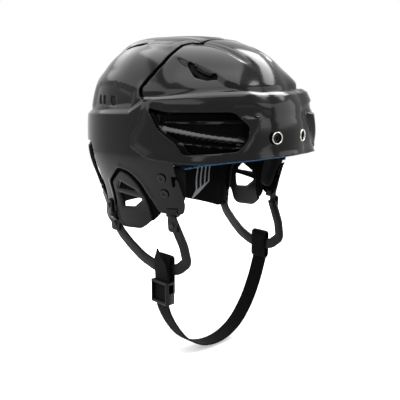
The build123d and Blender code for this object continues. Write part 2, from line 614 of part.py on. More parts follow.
def rivet(low, high):
    """A rivet with a head at each end, on the Z axis between two faces."""
    heads = rod(RIVET_HEAD_RADIUS, high, high + RIVET_HEAD) + rod(RIVET_HEAD_RADIUS, low - RIVET_HEAD, low)
    return heads + rod(RIVET_RADIUS, low, high)


def harness_rivets():
    """Rivets that hold the clips to the straps and to the shell's rear legs."""
    left = []
    through_strap = rivet(-STRAP_WALL / 2 - FIT_GAP, STRAP_WALL / 2 + CLIP_WALL + FIT_GAP)
    for place in (FRONT_RIVET, STRAP_REAR_RIVET):
        left.append(strap_plane() * (Pos(*place, 0) * through_strap))
    seat = surface_plane(1, *REAR_RIVET, PANEL_STEP)
    inside = -SHELL_WALL - SEAT_GAP - NAPE_STRAP_WALL - SEAT_GAP
    left.append(seat * rivet(inside, REAR_CLIP_LIFT + CLIP_WALL + FIT_GAP))
    return Compound(children=left + [mirror(piece, Plane.YZ) for piece in left])


@cache
def left_nape_strap():
    """Moulded strap from the rear leg up to the nape, behind the shell, with its snap hole."""
    face = PANEL_STEP - SHELL_WALL - SEAT_GAP
    strap = joined(layer(face, face - NAPE_STRAP_WALL, across(NAPE_STRAP, 0, 150), REAR))
    holes = [surface_plane(1, *REAR_RIVET, PANEL_STEP), surface_plane(1, *NAPE_SNAP, face)]
    return strap - [hole * rod(RIVET_RADIUS + FIT_GAP, -12, 3) for hole in holes]


def nape_snaps():
    """Domed snaps on the nape straps."""
    face = PANEL_STEP - SHELL_WALL - SEAT_GAP
    ball = (SNAP_RADIUS ** 2 + SNAP_DOME ** 2) / (2 * SNAP_DOME)
    dome = Pos(0, 0, SNAP_DOME - ball) * Sphere(ball) & rod(SNAP_RADIUS, 0, SNAP_DOME)
    snap = Pos(0, 0, SEAT_GAP + FIT_GAP) * (dome + rod(RIVET_RADIUS, -NAPE_STRAP_WALL - 2 * SEAT_GAP, 0))
    left = surface_plane(1, *NAPE_SNAP, face) * snap
    return Compound(children=[left, mirror(left, Plane.YZ)])


def strap_bottom():
    """Where the side strap's level run passes through the webbing's loop, as x and z on the left."""
    height = (STRAP_ROUTE[4][1] + STRAP_ROUTE[5][1]) / 2
    run = strap_plane().from_local_coords(Vector(WEBBING_Y - STRAP_ORIGIN[1], height, 0))
    return run.X, run.Z


def stadium(radius, low, high, width):
    """A long rounded prism round the Y axis, between two heights of its end centres."""
    outline = Plane.XZ * SlotCenterToCenter(high - low, 2 * radius, rotation=90)
    return Pos(0, 0, (low + high) / 2) * extrude(outline, amount=width / 2, both=True)


def webbing_loop(low, high):
    """A loop of webbing round the Y axis."""
    inner = LOOP_INSIDE / 2
    hole = stadium(inner, low, high, WEBBING_WIDTH + 2)
    return stadium(inner + WEBBING_WALL, low, high, WEBBING_WIDTH) - hole


def chin_webbing():
    """The webbing under the chin: the pointed tail, the hanging run, and the loop on the left strap."""
    x, z = strap_bottom()
    reach = STRAP_WIDTH / 2 + LOOP_PLAY
    low = -reach - LOOP_FOOT
    route = WEBBING_ROUTE[:-1] + [(x, z + low - LOOP_INSIDE / 2 - WEBBING_WALL / 2)]
    ribbon = trace(FilletPolyline(*route, radius=WEBBING_BENDS), line_width=WEBBING_WALL)
    webbing = extrude(Plane.XZ * ribbon, amount=WEBBING_WIDTH / 2, both=True)
    tip = WEBBING_ROUTE[0][1]
    half = WEBBING_WIDTH / 2
    for end in (-1, 1):
        corner = [(0, tip), (end * (half + 1), tip - TAIL_POINT), (end * (half + 1), tip + 5), (0, tip + 5)]
        webbing -= across(corner, -150, -60)
    return Pos(0, WEBBING_Y, 0) * (webbing + Pos(x, 0, z) * webbing_loop(low, reach - 1))


def buckle_loop():
    """Short loop of webbing from the right side strap to the buckle's middle bar."""
    x, z = strap_bottom()
    return Pos(-x, WEBBING_Y, z) * webbing_loop(BUCKLE_Z - z, STRAP_WIDTH / 2 + LOOP_PLAY - 1)


def buckle():
    """Ladder-lock buckle: two side rails, a front bar at each end and a middle bar set back."""
    x = strap_bottom()[0]
    front = WEBBING_ROUTE[3][0] - WEBBING_WALL / 2 - BAR_GAP - BAR_RADIUS
    width = WEBBING_WIDTH + 2 * WEBBING_SIDE_GAP
    bar = Rot(90, 0, 0) * Cylinder(BAR_RADIUS, width + RAIL_WALL)
    height = 2 * (BUCKLE_PITCH + BAR_RADIUS)
    depth = -x + BAR_RADIUS - front + BAR_RADIUS
    rail = Box(depth, RAIL_WALL, height)
    rail = fillet(rail.edges().filter_by(Axis.Y), 1.5)
    outer = rail.edges().filter_by(Axis.X).sort_by(Axis.Y)[-2:]
    rail = fillet(outer, RAIL_CORNER - FIT_GAP)
    middle = (front - BAR_RADIUS - x + BAR_RADIUS) / 2
    frame = Pos(-x, 0, 0) * bar
    for end in (-1, 1):
        frame += Pos(front, 0, end * BUCKLE_PITCH) * bar
        turned = rail if end > 0 else mirror(rail, Plane.XZ)
        frame += Pos(middle, end * (width + RAIL_WALL) / 2, 0) * turned
    return Pos(0, WEBBING_Y, BUCKLE_Z) * frame


def left_and_right(name, make):
    """A left piece and its mirror image, as two named parts."""
    return {f"{name}_left": make, f"{name}_right": lambda: mirror(make(), Plane.YZ)}


PARTS = {
    "front_shell": front_shell,
    "rear_shell": rear_shell,
    "front_liner": front_liner,
    "rear_liner": rear_liner,
    "brow_pad": brow_pad,
    "crown_pad": crown_pad,
    "nape_pad": nape_pad,
    "guard_screws": guard_screws,
    "guard_nuts": guard_nuts,
    "visor_grommets": visor_grommets,
    "visor_nuts": visor_nuts,
    "harness_rivets": harness_rivets,
    "nape_snaps": nape_snaps,
    "chin_webbing": chin_webbing,
    "buckle_loop": buckle_loop,
    "buckle": buckle,
    **left_and_right("vent_insert", left_insert),
    **left_and_right("temple_pad", left_temple_pad),
    **left_and_right("ear_guard", left_ear_guard),
    **left_and_right("side_strap", left_strap),
    **left_and_right("front_clip", left_front_clip),
    **left_and_right("rear_clip", left_rear_clip),
    **left_and_right("nape_strap", left_nape_strap),
}

os.makedirs("parts", exist_ok=True)
for name, make in PARTS.items():
    export_step(make(), f"parts/{name}.step")
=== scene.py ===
import json
from math import cos, pi, radians, sin, sqrt

import bmesh
import bpy
import numpy as np
from mathutils import Matrix, Vector


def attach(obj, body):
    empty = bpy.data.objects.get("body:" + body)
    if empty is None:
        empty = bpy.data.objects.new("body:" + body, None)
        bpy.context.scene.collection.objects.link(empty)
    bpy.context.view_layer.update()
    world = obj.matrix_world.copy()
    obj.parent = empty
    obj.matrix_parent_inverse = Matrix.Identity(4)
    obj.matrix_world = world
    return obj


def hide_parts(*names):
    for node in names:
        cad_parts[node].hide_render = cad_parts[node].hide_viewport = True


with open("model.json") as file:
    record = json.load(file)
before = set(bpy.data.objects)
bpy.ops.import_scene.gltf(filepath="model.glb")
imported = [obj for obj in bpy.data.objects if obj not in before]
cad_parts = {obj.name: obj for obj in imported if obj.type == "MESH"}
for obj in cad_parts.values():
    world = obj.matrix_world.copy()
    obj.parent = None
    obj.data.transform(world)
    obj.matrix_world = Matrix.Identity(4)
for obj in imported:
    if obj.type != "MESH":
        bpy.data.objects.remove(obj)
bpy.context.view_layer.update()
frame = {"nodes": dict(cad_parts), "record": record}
nodes = frame["nodes"]
BODY_OF = {node: body for body, names in frame["record"]["behaviour"]["bodies"].items() for node in names}
MM = 0.001
QUARTER = pi / 2
BOTH_SIDES = ((1, "left"), (-1, "right"))

# Head form of the shell, in millimetres: the same driving sizes as the solids
HALF_WIDTH = 96.5
WIDEST_Y = 22.5
FRONT_REACH = 144.8
REAR_REACH = 103.7
CROWN_HEIGHT = 112.8
CROWN_FULLNESS = 2.8
SKIRT_DEPTH = 95.0
SKIRT_TAPER = 0.135
TAPER_DEPTH = 60.0
SHELL_WALL = 2.2
SHELL_GAP = 0.35
SEAT_GAP = 0.3
BAND_STEP = 6.0
PANEL_STEP = BAND_STEP - SHELL_WALL - SHELL_GAP
UNDER_PANEL = PANEL_STEP - SHELL_WALL - SEAT_GAP
FOAM_WALL = 13.0
PAD_WALL = 6.0
CEILING_Z = 160.0

# Relief that the scene adds to the solids' form
RIDGE_RISE = 1.2
SEAM_GAP = 4.0
TONGUE_FOOT_Z = 62.0
FRONT_FULLNESS = 4.0
FIN_RISE = 3.4
DISH_DEPTH = 2.5
VALLEY_DEPTH = 1.6
VALLEY_HALF_WIDTH = 2.8
WING_DIP = 1.3
LOUVRE_LIP_DIP = 1.5
BROW_GROOVE_DIP = 0.7
RIM_BEAD_WIDTH = 3.4
RIM_BEAD_RISE = 0.9
SLOT_RECESS_DEPTH = 1.7
LOBE_MARGIN_DIP = 0.9
ARCH_BEAD_RISE = 0.7


# Outlines and steps

def smooth(values, low, high):
    """0 below low and 1 above high, with a smooth step between."""
    share = np.clip((values - low) / (high - low), 0.0, 1.0)
    return share * share * (3 - 2 * share)


def bend(start, corner, end, share):
    """The place on a short curve from start to end that leans towards a corner."""
    return start * (1 - share) ** 2 + corner * 2 * share * (1 - share) + end * share ** 2


def rounded(outline, radius):
    """A closed outline with each corner turned into a short curve."""
    made = []
    points = [Vector(p) for p in outline]
    for before, corner, after in zip(points[-1:] + points[:-1], points, points[1:] + points[:1]):
        reach_in = min(radius, 0.45 * (before - corner).length)
        reach_out = min(radius, 0.45 * (after - corner).length)
        start = corner + (before - corner).normalized() * reach_in
        end = corner + (after - corner).normalized() * reach_out
        made += [tuple(bend(start, corner, end, share)) for share in (0.0, 0.2, 0.4, 0.6, 0.8, 1.0)]
    return made


def line_distance(a, b, line):
    """Distance of places (a, b) from an open line."""
    nearest = np.full(len(a), 1e9)
    for (a0, b0), (a1, b1) in zip(line, line[1:]):
        run_a, run_b = a1 - a0, b1 - b0
        length = max(run_a ** 2 + run_b ** 2, 1e-9)
        share = np.clip(((a - a0) * run_a + (b - b0) * run_b) / length, 0, 1)
        nearest = np.minimum(nearest, np.hypot(a - a0 - share * run_a, b - b0 - share * run_b))
    return nearest


def outline_distance(a, b, outline):
    """Signed distance of places (a, b) from a closed outline, below zero inside it."""
    closed = outline + outline[:1]
    inside = np.zeros(len(a), dtype=bool)
    for (a0, b0), (a1, b1) in zip(closed, closed[1:]):
        if b0 != b1:
            crosses = (b0 > b) != (b1 > b)
            inside ^= crosses & (a < (b - b0) / (b1 - b0) * (a1 - a0) + a0)
    nearest = line_distance(a, b, closed)
    return np.where(inside, -nearest, nearest)


def height_of(line, y):
    """The height of a side-view line at places along the helmet."""
    line_y, line_z = zip(*sorted(line))
    return np.interp(y, line_y, line_z)


def depth_below(y, z, line):
    """How far places lie below a side-view line."""
    return height_of(line, y) - z


# Side views, as (y, z)
FRONT_LEDGE = [(-150, 61.5), (-10, 53)]
REAR_LEDGE = [(-60, 53.5), (-22, 53.5), (-6, 42.5), (60, 38), (150, 33)]
WING_EDGE = [(-24, 54), (-21, 30), (-12.5, 17), (-12.5, 7), (-30, -2.5)]
BROW_EDGE = [(-49, -4), (-66, -5), (-84, -5), (-98, -3.3), (-112, -1), (-131, 1.5), (-150, 3.5)]
ARM_FRONT = [(-23, 48), (-28, 43), (-37, 22), (-62, 3), (-69, -5)]
LOBE_FRONT = [(-66.5, -12), (-60.5, -36), (-55.5, -58)]
LOBE_REAR = [(-31, -58)]
EAR_ARCH = [(-22.5, -42), (-17, -28), (-7, -18), (9, -14.5), (31, -32), (31, -60)]
REAR_LEG = [(34, -69), (48, -65), (46, -39), (55, 1)]
NAPE_EDGE_Z = 4.0
LOUVRE = [(-31, 45.5), (-52, 42), (-108, 43.5), (-121, 31.5), (-121, 17.5), (-114, 8), (-71, 3), (-66, 12),
          (-46, 25), (-38, 37)]
CAGE_SLOT = [(-57, -17.5), (-53.4, -17.5), (-51.6, -29.5), (-54.6, -29.5)]
CLIP_SLOT = [(-52.5, -54.5), (-37.5, -54.5), (-37.5, -53), (-52.5, -53)]
REAR_SLOTS = [[(start, 45.0), (start + width, 45.0), (start + width + 3.0, 54.5), (start + 3.0, 54.5)]
              for start, width in ((18, 8), (35, 6), (45.5, 5.5))]
NAPE_VENT_EDGE = rounded([(22, 47), (40, 47), (40, 56), (22, 56)], 2.0)
GUARD_PANEL = rounded([(30, -32.5), (30, -57.5), (26, -82), (17, -82), (-10, -82), (-18, -76), (-22, -66),
                       (-16.5, -45), (-11, -31.5), (-3.5, -22.5), (9, -17)], 4.0)
GUARD_EDGE = rounded([(35.5, -27), (35.5, -56), (30, -57.5), (24, -75.5), (17, -79), (-8.5, -77),
                      (-15.5, -72.5), (-30, -59.5), (-34, -47), (-47, -44.5), (-50, -14), (-30, -12),
                      (-8, -10.5), (11, -7.5)], 4.0)
GUARD_WINDOWS = [[(22, -38.5), (15.5, -30), (-8, -38.5)], [(23, -43), (19, -57.5), (1, -55.5), (-12, -46)]]
SCREW_PLACES = [(-43, -21), (-41, -37)]
SCREW_SEAT_RADIUS = 4.6

# Plan views, as (x, y)
FRONT_VENT_EDGE = rounded([(57.6, -49.5), (61, -63), (57, -74.5), (48.5, -83), (53.6, -69)], 2.2)
REAR_TOP_EDGE = rounded([(50, 14), (55, 20), (54, 48), (50, 54)], 5.0)
CREASE = [(36, -106), (37.5, -100), (46.5, -88), (53, -69), (58.6, -50), (60, -30)]
VALLEY = [(33, -38), (26.5, -47), (22.4, -65), (19.5, -84.6), (12, -97.6)]
SEAM_PLAN = [(0, -40), (18, -39), (32, -42), (37, -35), (45, -31), (56, -31.5), (69, -30), (78, -25),
             (86, -17), (96, -12)]
REAR_RIDGE = [(25, -42), (57, -42), (54, 12), (47, 14), (44, 82), (25, 88)]
REAR_CENTRE_RIDGE = [(-11, -42), (11, -42), (11, 92), (-11, 92)]

# The seam below the crown, as (z, y)
SEAM_SIDE = [(54, -20), (58, -17.5), (62, -16.5), (66, -18)]
SEAM_TOP_Z = 66.0

# Visor holes
VISOR_X = 18.5
VISOR_Z = 19.0
GROMMET_RADIUS = 5.2


# The head form

def profile_table():
    """The half profile: the way along it, the share of the width, and the share of the height or depth."""
    turns = np.linspace(QUARTER, 0, 1500)
    ratio = np.cos(turns) ** (2 / CROWN_FULLNESS)
    level = np.sin(turns) ** (2 / CROWN_FULLNESS)
    ratio[0], level[-1] = 0.0, 0.0
    depth = np.linspace(0.5, SKIRT_DEPTH, 300)
    skirt = 1 - SKIRT_TAPER * smooth(depth, 0.0, TAPER_DEPTH)
    across = np.concatenate([ratio * HALF_WIDTH, skirt * HALF_WIDTH])
    up = np.concatenate([level * CROWN_HEIGHT, -depth])
    along = np.concatenate([[0.0], np.cumsum(np.hypot(np.diff(across), np.diff(up)))])
    return along, np.concatenate([ratio, skirt]), np.concatenate([level, -depth])


ALONG, RATIO, LEVEL = profile_table()
ARC_END = float(ALONG[-1])


def form(turn, arc, grow):
    """Places on the grown form.

    turn runs from -90 degrees at the brow to 90 at the nape, and arc is the way down from the crown.
    """
    ratio = np.interp(arc, ALONG, RATIO)
    level = np.interp(arc, ALONG, LEVEL)
    radius = (HALF_WIDTH + grow) * ratio
    reach = np.where(turn < 0, FRONT_REACH, REAR_REACH) / HALF_WIDTH
    z = np.where(level > 0, level * (CROWN_HEIGHT + grow), level)
    return np.stack([radius * np.cos(turn), WIDEST_Y + radius * reach * np.sin(turn), z], axis=1)


def width_share(z, grow):
    """Share of the grown form's half width that is left at a height."""
    if z > 0:
        return (1 - (z / (CROWN_HEIGHT + grow)) ** CROWN_FULLNESS) ** (1 / CROWN_FULLNESS)
    return 1 - SKIRT_TAPER * smooth(-z, 0.0, TAPER_DEPTH)


def side_place(y, z, grow):
    """The place on the grown form's left side, from its side view."""
    width = HALF_WIDTH + grow
    reach = width * (FRONT_REACH if y < WIDEST_Y else REAR_REACH) / HALF_WIDTH
    return Vector((width * sqrt(width_share(z, grow) ** 2 - ((y - WIDEST_Y) / reach) ** 2), y, z))


def ledge(line, drop):
    """For the columns of a skin, the arcs at which the form crosses a lowered side-view line."""
    arcs = np.linspace(60.0, ARC_END, 700)
    grow = 3.0

    def crossings(turns):
        found = []
        for turn in turns:
            places = form(np.full(len(arcs), turn), arcs, grow)
            found.append(np.interp(0.0, depth_below(places[:, 1], places[:, 2], line) - drop, arcs))
        return np.array(found)

    return crossings


def flat(growth):
    """The same growth at every place."""
    return lambda x, y, z: np.full(len(x), growth)


def side_cut(outline):
    """A cut along an outline that is seen from the side."""
    return lambda x, y, z: outline_distance(y, z, outline)


def wall_under(height, wall):
    """The growth of a skin's inner face, a wall below its outer face."""
    return lambda x, y, z: height(x, y, z) - wall


# Building skins

def mesh_of(bed, name):
    """The mesh of a bmesh that is done with."""
    mesh = bpy.data.meshes.new(name)
    bed.to_mesh(mesh)
    bed.free()
    return mesh


def placed(name, data):
    """A new object in the scene."""
    made = bpy.data.objects.new(name, data)
    bpy.context.collection.objects.link(made)
    return made


def finished(name, mesh, body, finish, replaced=(), edge=0.5, angle=40.0, clamp=False):
    """An object of a finished mesh that rides on a body, with its sharp edges rounded."""
    mesh.materials.clear()
    mesh.materials.append(finish)
    mesh.polygons.foreach_set("use_smooth", [True] * len(mesh.polygons))
    made = placed(name, mesh)
    if edge:
        bevel = made.modifiers.new("rounded edges", "BEVEL")
        bevel.width = edge * MM
        bevel.segments = 2
        bevel.limit_method = "ANGLE"
        bevel.angle_limit = radians(angle)
        bevel.use_clamp_overlap = clamp
        bevel.miter_outer = "MITER_ARC"
    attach(made, body)
    if replaced:
        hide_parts(*replaced)
    return made


# Millimetres to a radian of turn, for a rim's steps and for the columns of a grid
TURN_REACH = 100.0
COLUMN_REACH = 118.0
PROBE = 0.2
# Half sizes of the ellipsoid whose normals stand for the way out
SHELL_AXES = (100.0, 128.0, 112.0)


def skin_grid(turns, breaks, cell):
    """A flat grid of faces, with a turn and an arc for each vertex."""
    columns = max(4, int((turns[1] - turns[0]) * COLUMN_REACH / cell))
    turn_steps = np.linspace(turns[0], turns[1], columns + 1)
    arcs = np.array([arc(turn_steps) if callable(arc) else np.full(columns + 1, arc) for arc, _ in breaks])
    rows = [(index, step / count) for index, (_, count) in enumerate(breaks[1:]) for step in range(count)]
    rows.append((len(breaks) - 2, 1.0))
    bed = bmesh.new()
    bmesh.ops.create_grid(bed, x_segments=columns, y_segments=len(rows) - 1, size=1)
    places = (np.array([v.co[:2] for v in bed.verts]) + 1) / 2
    column = np.rint(places[:, 0] * columns).astype(int)
    row = np.rint(places[:, 1] * (len(rows) - 1)).astype(int)
    index, share = (np.array(values)[row] for values in zip(*rows))
    arc = arcs[index, column] * (1 - share) + arcs[index + 1, column] * share
    return bed, turn_steps[column], arc


def rim_vertices(corners):
    """The vertices along the border of some faces, which are given by their four corners."""
    pairs = np.sort(np.concatenate([corners[:, [i, (i + 1) % 4]] for i in range(4)]), axis=1)
    unique, counts = np.unique(pairs, axis=0, return_counts=True)
    return np.unique(unique[counts == 1])


def snap_rim(turn, arc, rim, cut, cell):
    """Moves the rim to where the cut is zero, by steps down its slope. The middle line stays in place."""
    free = (np.abs(np.abs(turn[rim]) - QUARTER) > 1e-6).astype(float)
    for _ in range(4):
        t, s = turn[rim], arc[rim]
        here = cut(t, s)
        by_turn = free * (cut(t + PROBE / TURN_REACH, s) - here) / PROBE
        by_arc = (cut(t, s + PROBE) - here) / PROBE
        steep = np.maximum(by_turn ** 2 + by_arc ** 2, 0.05)
        move = np.where(np.abs(here) < 2 * cell, here / steep, 0.0)
        turn[rim] = t - np.clip(move * by_turn, -cell, cell) / TURN_REACH
        arc[rim] = np.clip(s - np.clip(move * by_arc, -cell, cell), 0.0, ARC_END)


def second_finish(mesh, finish, test):
    """Gives a second finish to the faces that pass a test of their centre and how squarely they face out."""
    mesh.materials.append(finish)
    centres, normals = np.empty((2, 3 * len(mesh.polygons)))
    mesh.polygons.foreach_get("center", centres)
    mesh.polygons.foreach_get("normal", normals)
    places = centres.reshape(-1, 3) / MM
    outward = places / np.square(SHELL_AXES)
    outward /= np.linalg.norm(outward, axis=1)[:, None]
    facing = np.abs((normals.reshape(-1, 3) * outward).sum(axis=1))
    x, y, z = places.T
    mesh.polygons.foreach_set("material_index", test(np.abs(x), y, z, facing).astype(int))


def skin(name, body, finish, turns, breaks, cell, outer, inner, outside,
         replaced=(), edge=0.5, sides=(1, -1), deep=None):
    """A sheet of the form from an outer to an inner growth, cut by outside, and its mirror image.

    breaks lists (arc, or an arc for each column, and the rows down to it); its first entry has no rows.
    deep is a second finish and the test of the faces that get it.
    """
    bed, turn, arc = skin_grid(turns, breaks, cell)

    def outer_places(t, s):
        return form(t, s, outer(*form(t, s, 0.0).T))

    def cut(t, s):
        return outside(*outer_places(t, s).T)

    corners = np.array([[v.index for v in f.verts] for f in bed.faces])
    kept = cut(turn, arc)[corners].mean(axis=1) < 0
    snap_rim(turn, arc, rim_vertices(corners[kept]), cut, cell)
    under = form(turn, arc, inner(*form(turn, arc, 0.0).T))
    store = [bed.verts.layers.float.new(axis) for axis in "xyz"]
    for v, place, below in zip(bed.verts, outer_places(turn, arc), under):
        v.co = Vector(place) * MM
        for layer, value in zip(store, below):
            v[layer] = value
    bed.faces.ensure_lookup_table()
    bmesh.ops.delete(bed, geom=[bed.faces[i] for i in np.flatnonzero(~kept)], context="FACES")
    bmesh.ops.remove_doubles(bed, verts=bed.verts, dist=0.12 * cell * MM)
    if 1 not in sides:
        bmesh.ops.scale(bed, verts=bed.verts, vec=(-1, 1, 1))
        bmesh.ops.reverse_faces(bed, faces=bed.faces)
    elif -1 in sides:
        whole = bed.verts[:] + bed.edges[:] + bed.faces[:]
        bmesh.ops.mirror(bed, geom=whole, matrix=Matrix.Identity(4), merge_dist=0.02 * MM, axis="X")
    grown = bmesh.ops.extrude_face_region(bed, geom=bed.faces[:], use_keep_orig=True)
    for v in grown["geom"]:
        if isinstance(v, bmesh.types.BMVert):
            across = -v[store[0]] if v.co.x < 0 else v[store[0]]
            v.co = Vector((across, v[store[1]], v[store[2]])) * MM
    bmesh.ops.recalc_face_normals(bed, faces=bed.faces)
    mesh = mesh_of(bed, name)
    made = finished(name, mesh, body, finish, replaced, edge)
    if deep:
        second_finish(mesh, *deep)
    return made


def softened(node, finish, width):
    """A CAD node with its facets joined and its edges rounded, in the same place."""
    bed = bmesh.new()
    bed.from_mesh(nodes[node].data)
    bmesh.ops.remove_doubles(bed, verts=bed.verts, dist=0.01 * MM)
    bmesh.ops.dissolve_limit(bed, angle_limit=radians(1.0), verts=bed.verts, edges=bed.edges)
    mesh = mesh_of(bed, node + "_piece")
    mesh.validate()
    return finished(node + "_piece", mesh, BODY_OF[node], finish, (node,), width, angle=30.0, clamp=True)


# Materials

# Colour sockets of a Mix node
MIX_COLOURS = (6, 7)
MIX_RESULT = 2


def linear(hex_colour):
    """An sRGB hex colour as linear RGBA."""
    channels = [int(hex_colour[i:i + 2], 16) / 255 for i in (0, 2, 4)]
    return tuple(c / 12.92 if c <= 0.04045 else ((c + 0.055) / 1.055) ** 2.4 for c in channels) + (1.0,)


def add(tree, kind, settings=None, **links):
    """Adds a node. A setting that isn't a property of the node is the value of one of its inputs."""
    made = tree.nodes.new(kind)
    for name, value in (settings or {}).items():
        if hasattr(made, name):
            setattr(made, name, value)
        else:
            made.inputs[name.replace("_", " ")].default_value = value
    for name, source in links.items():
        numbered = name[0] == "i" and name[1:].isdigit()
        tree.links.new(source, made.inputs[int(name[1:]) if numbered else name.replace("_", " ")])
    return made


def finish_of(name, colour, roughness, **sockets):
    """A new material with its tree and its Principled shader, whose plain sockets are set here."""
    made = bpy.data.materials.new(name)
    made.use_nodes = True
    shader = made.node_tree.nodes["Principled BSDF"]
    shader.inputs["Base Color"].default_value = linear(colour)
    shader.inputs["Roughness"].default_value = roughness
    for socket, value in sockets.items():
        shader.inputs[socket.replace("_", " ")].default_value = value
    return made, made.node_tree, shader


def plain(name, colour, roughness, level):
    """A finish with one colour: ink, foam, or a coarse moulding whose texture is too fine to show and whose
    black is painted shade.
    """
    return finish_of(name, colour, roughness, Specular_IOR_Level=level)[0]


def mottled(name, colours, spread, patch, relief, strength, depth, **sockets):
    """A finish whose colour and roughness vary in patches of a real size, with relief as its bump."""
    made, tree, shader = finish_of(name, colours[0], spread[0], **sockets)
    place = add(tree, "ShaderNodeTexCoord").outputs["Object"]
    noise = add(tree, "ShaderNodeTexNoise", {"Scale": 1 / (patch * MM), "Detail": 3.0},
                Vector=place).outputs["Fac"]
    blend = add(tree, "ShaderNodeMix", {"data_type": "RGBA"}, i0=noise)
    for socket, colour in zip(MIX_COLOURS, colours):
        blend.inputs[socket].default_value = linear(colour)
    rough = add(tree, "ShaderNodeMapRange", {"To_Min": spread[0], "To_Max": spread[1]}, Value=noise)
    bump = add(tree, "ShaderNodeBump", {"Strength": strength, "Distance": depth * MM},
               Height=relief(tree, place, noise))
    tree.links.new(blend.outputs[MIX_RESULT], shader.inputs["Base Color"])
    tree.links.new(rough.outputs["Result"], shader.inputs["Roughness"])
    tree.links.new(bump.outputs["Normal"], shader.inputs["Normal"])
    return made


def sink_marks(tree, place, noise):
    waves = add(tree, "ShaderNodeTexNoise", {"Scale": 1 / (14 * MM), "Detail": 1.0}, Vector=place)
    return waves.outputs["Fac"]


def grit(tree, place, noise):
    return noise


def beads(tree, place, noise):
    return add(tree, "ShaderNodeTexVoronoi", {"Scale": 1 / (3 * MM)}, Vector=place).outputs["Distance"]


def threads(tree, place, *sets):
    """Two sets of threads across each other, each with its axis and its spacing in millimetres."""
    made = add(tree, "ShaderNodeMath", {"operation": "MULTIPLY"})
    for socket, (axis, spacing) in zip(made.inputs, sets):
        wave = add(tree, "ShaderNodeTexWave", {"bands_direction": axis, "Scale": pi / (10 * spacing * MM)},
                   Vector=place)
        tree.links.new(wave.outputs["Fac"], socket)
    return made.outputs["Value"]


def knitting(tree, place, noise):
    """Warp-knitted stitches of 0.8 mm, drawn at 1.6 mm so that they show."""
    return threads(tree, place, ("Y", 1.6), ("Z", 1.6))


def weave(tree, place, noise):
    """Picks 1.4 mm apart along the strap, and warp threads 1.1 mm apart across it."""
    return threads(tree, add(tree, "ShaderNodeUVMap").outputs["UV"], ("X", 1.4), ("Y", 1.1))


def satin_plastic(name, colours, spread, level=0.15):
    """Satin plastic from a spark-eroded mould. The 0.4 mm grit is drawn at 1.1 mm so that it shows."""
    return mottled(name, colours, spread, 1.1, grit, 0.22, 0.12, Specular_IOR_Level=level)


def metal(name, colour, roughness):
    """Turned and coated metal, with the coating a little uneven."""
    made, tree, shader = finish_of(name, colour, roughness, Metallic=1.0)
    place = add(tree, "ShaderNodeTexCoord").outputs["Object"]
    noise = add(tree, "ShaderNodeTexNoise", {"Scale": 1 / (1.5 * MM)}, Vector=place)
    rough = add(tree, "ShaderNodeMapRange", {"To_Min": roughness * 0.8, "To_Max": roughness * 1.3},
                Value=noise.outputs["Fac"])
    tree.links.new(rough.outputs["Result"], shader.inputs["Roughness"])
    return made


# Injection-moulded polycarbonate: black, with a soft gloss that waves a little over its sink marks
SHELL = mottled("moulded polycarbonate", ("060606", "090909"), (0.12, 0.17), 22.0, sink_marks, 0.2, 0.1,
                Specular_IOR_Level=0.19)
# The louvre's ABS shines along its slats, and the nylon of the guards is the dullest of the mouldings
LOUVRE_PLASTIC = satin_plastic("satin ABS", ("0b0b0c", "111112"), (0.18, 0.26), 0.34)
GUARD_PLASTIC = satin_plastic("satin nylon", ("0c0c0d", "121213"), (0.32, 0.44))
# Urethane straps with a soft sheen, and acetal clips that are a little smoother
STRAP_PLASTIC = satin_plastic("moulded urethane", ("080809", "0d0d0e"), (0.34, 0.46))
CLIP_PLASTIC = satin_plastic("acetal", ("0a0a0b", "0f0f10"), (0.24, 0.34))
# Matt black nylon is painted shade: its dark colour stands in for the shade in the front vent's walls,
# between the slats and round the guard, so that they look deep
PAINTED_SHADE_NYLON = plain("matt nylon as painted shade", "040404", 0.85, 0.05)
# Foam with a moulded skin is matt, and black or blue all through
PANEL_FOAM = plain("moulded EVA foam", "08080a", 0.8, 0.06)
BLUE_FOAM = plain("blue polyurethane foam", "1b4f76", 0.8, 0.15)
# The ink is an opaque grey, a little smoother than the foam below it
STRIPE_INK = plain("grey pad-printing ink", "8d9194", 0.6, 0.3)
# Bead foam is matt, with its 3 mm beads showing as shallow cells
FOAM = mottled("polypropylene bead foam", ("090a0c", "101116"), (0.66, 0.84), 9.0, beads, 0.5, 0.25,
               Specular_IOR_Level=0.12)
# Knitted and woven polyester scatter the light in their threads, and a short nap lifts the edges
KNIT = mottled("knitted polyester", ("08090b", "0e0f12"), (0.78, 0.95), 6.0, knitting, 0.5, 0.3,
               Specular_IOR_Level=0.1, Sheen_Weight=0.05, Sheen_Roughness=0.5)
WEBBING = mottled("woven polyester webbing", ("070708", "0d0e10"), (0.6, 0.8), 2.4, weave, 0.8, 0.35,
                  Specular_IOR_Level=0.05, Sheen_Weight=0.02, Sheen_Roughness=0.4)
# Nickel makes the grommets' rims bright, black oxide dulls the screws, and zinc keeps the nuts pale. The
# black metal is also painted shade in the grommets' bores and on the visor nuts.
BRIGHT_METAL = metal("nickel-plated brass", "b9b6b0", 0.22)
BLACK_METAL = metal("black-oxide steel and painted shade", "2b2b2d", 0.35)
STEEL = metal("zinc-plated steel", "8f8f90", 0.35)


# Shells

FRONT_PROFILE = [(-6, 0), (-1.4, -1), (-0.5, 1.7), (0.6, 2.4), (4.2, 4.8), (13, BAND_STEP)]
REAR_PROFILE = [(-4, 0), (-0.8, -0.6), (0, 0.2), (4.8, PANEL_STEP)]
SLOT_RECESS_TOP = [(-12, 59.5), (10, 65), (30, 67.5), (54, 65.5), (80, 61)]
FRONT_REGION = [(5, CEILING_Z), (5, 54.5)] + WING_EDGE + BROW_EDGE + [(-160, 3.5), (-160, CEILING_Z)]
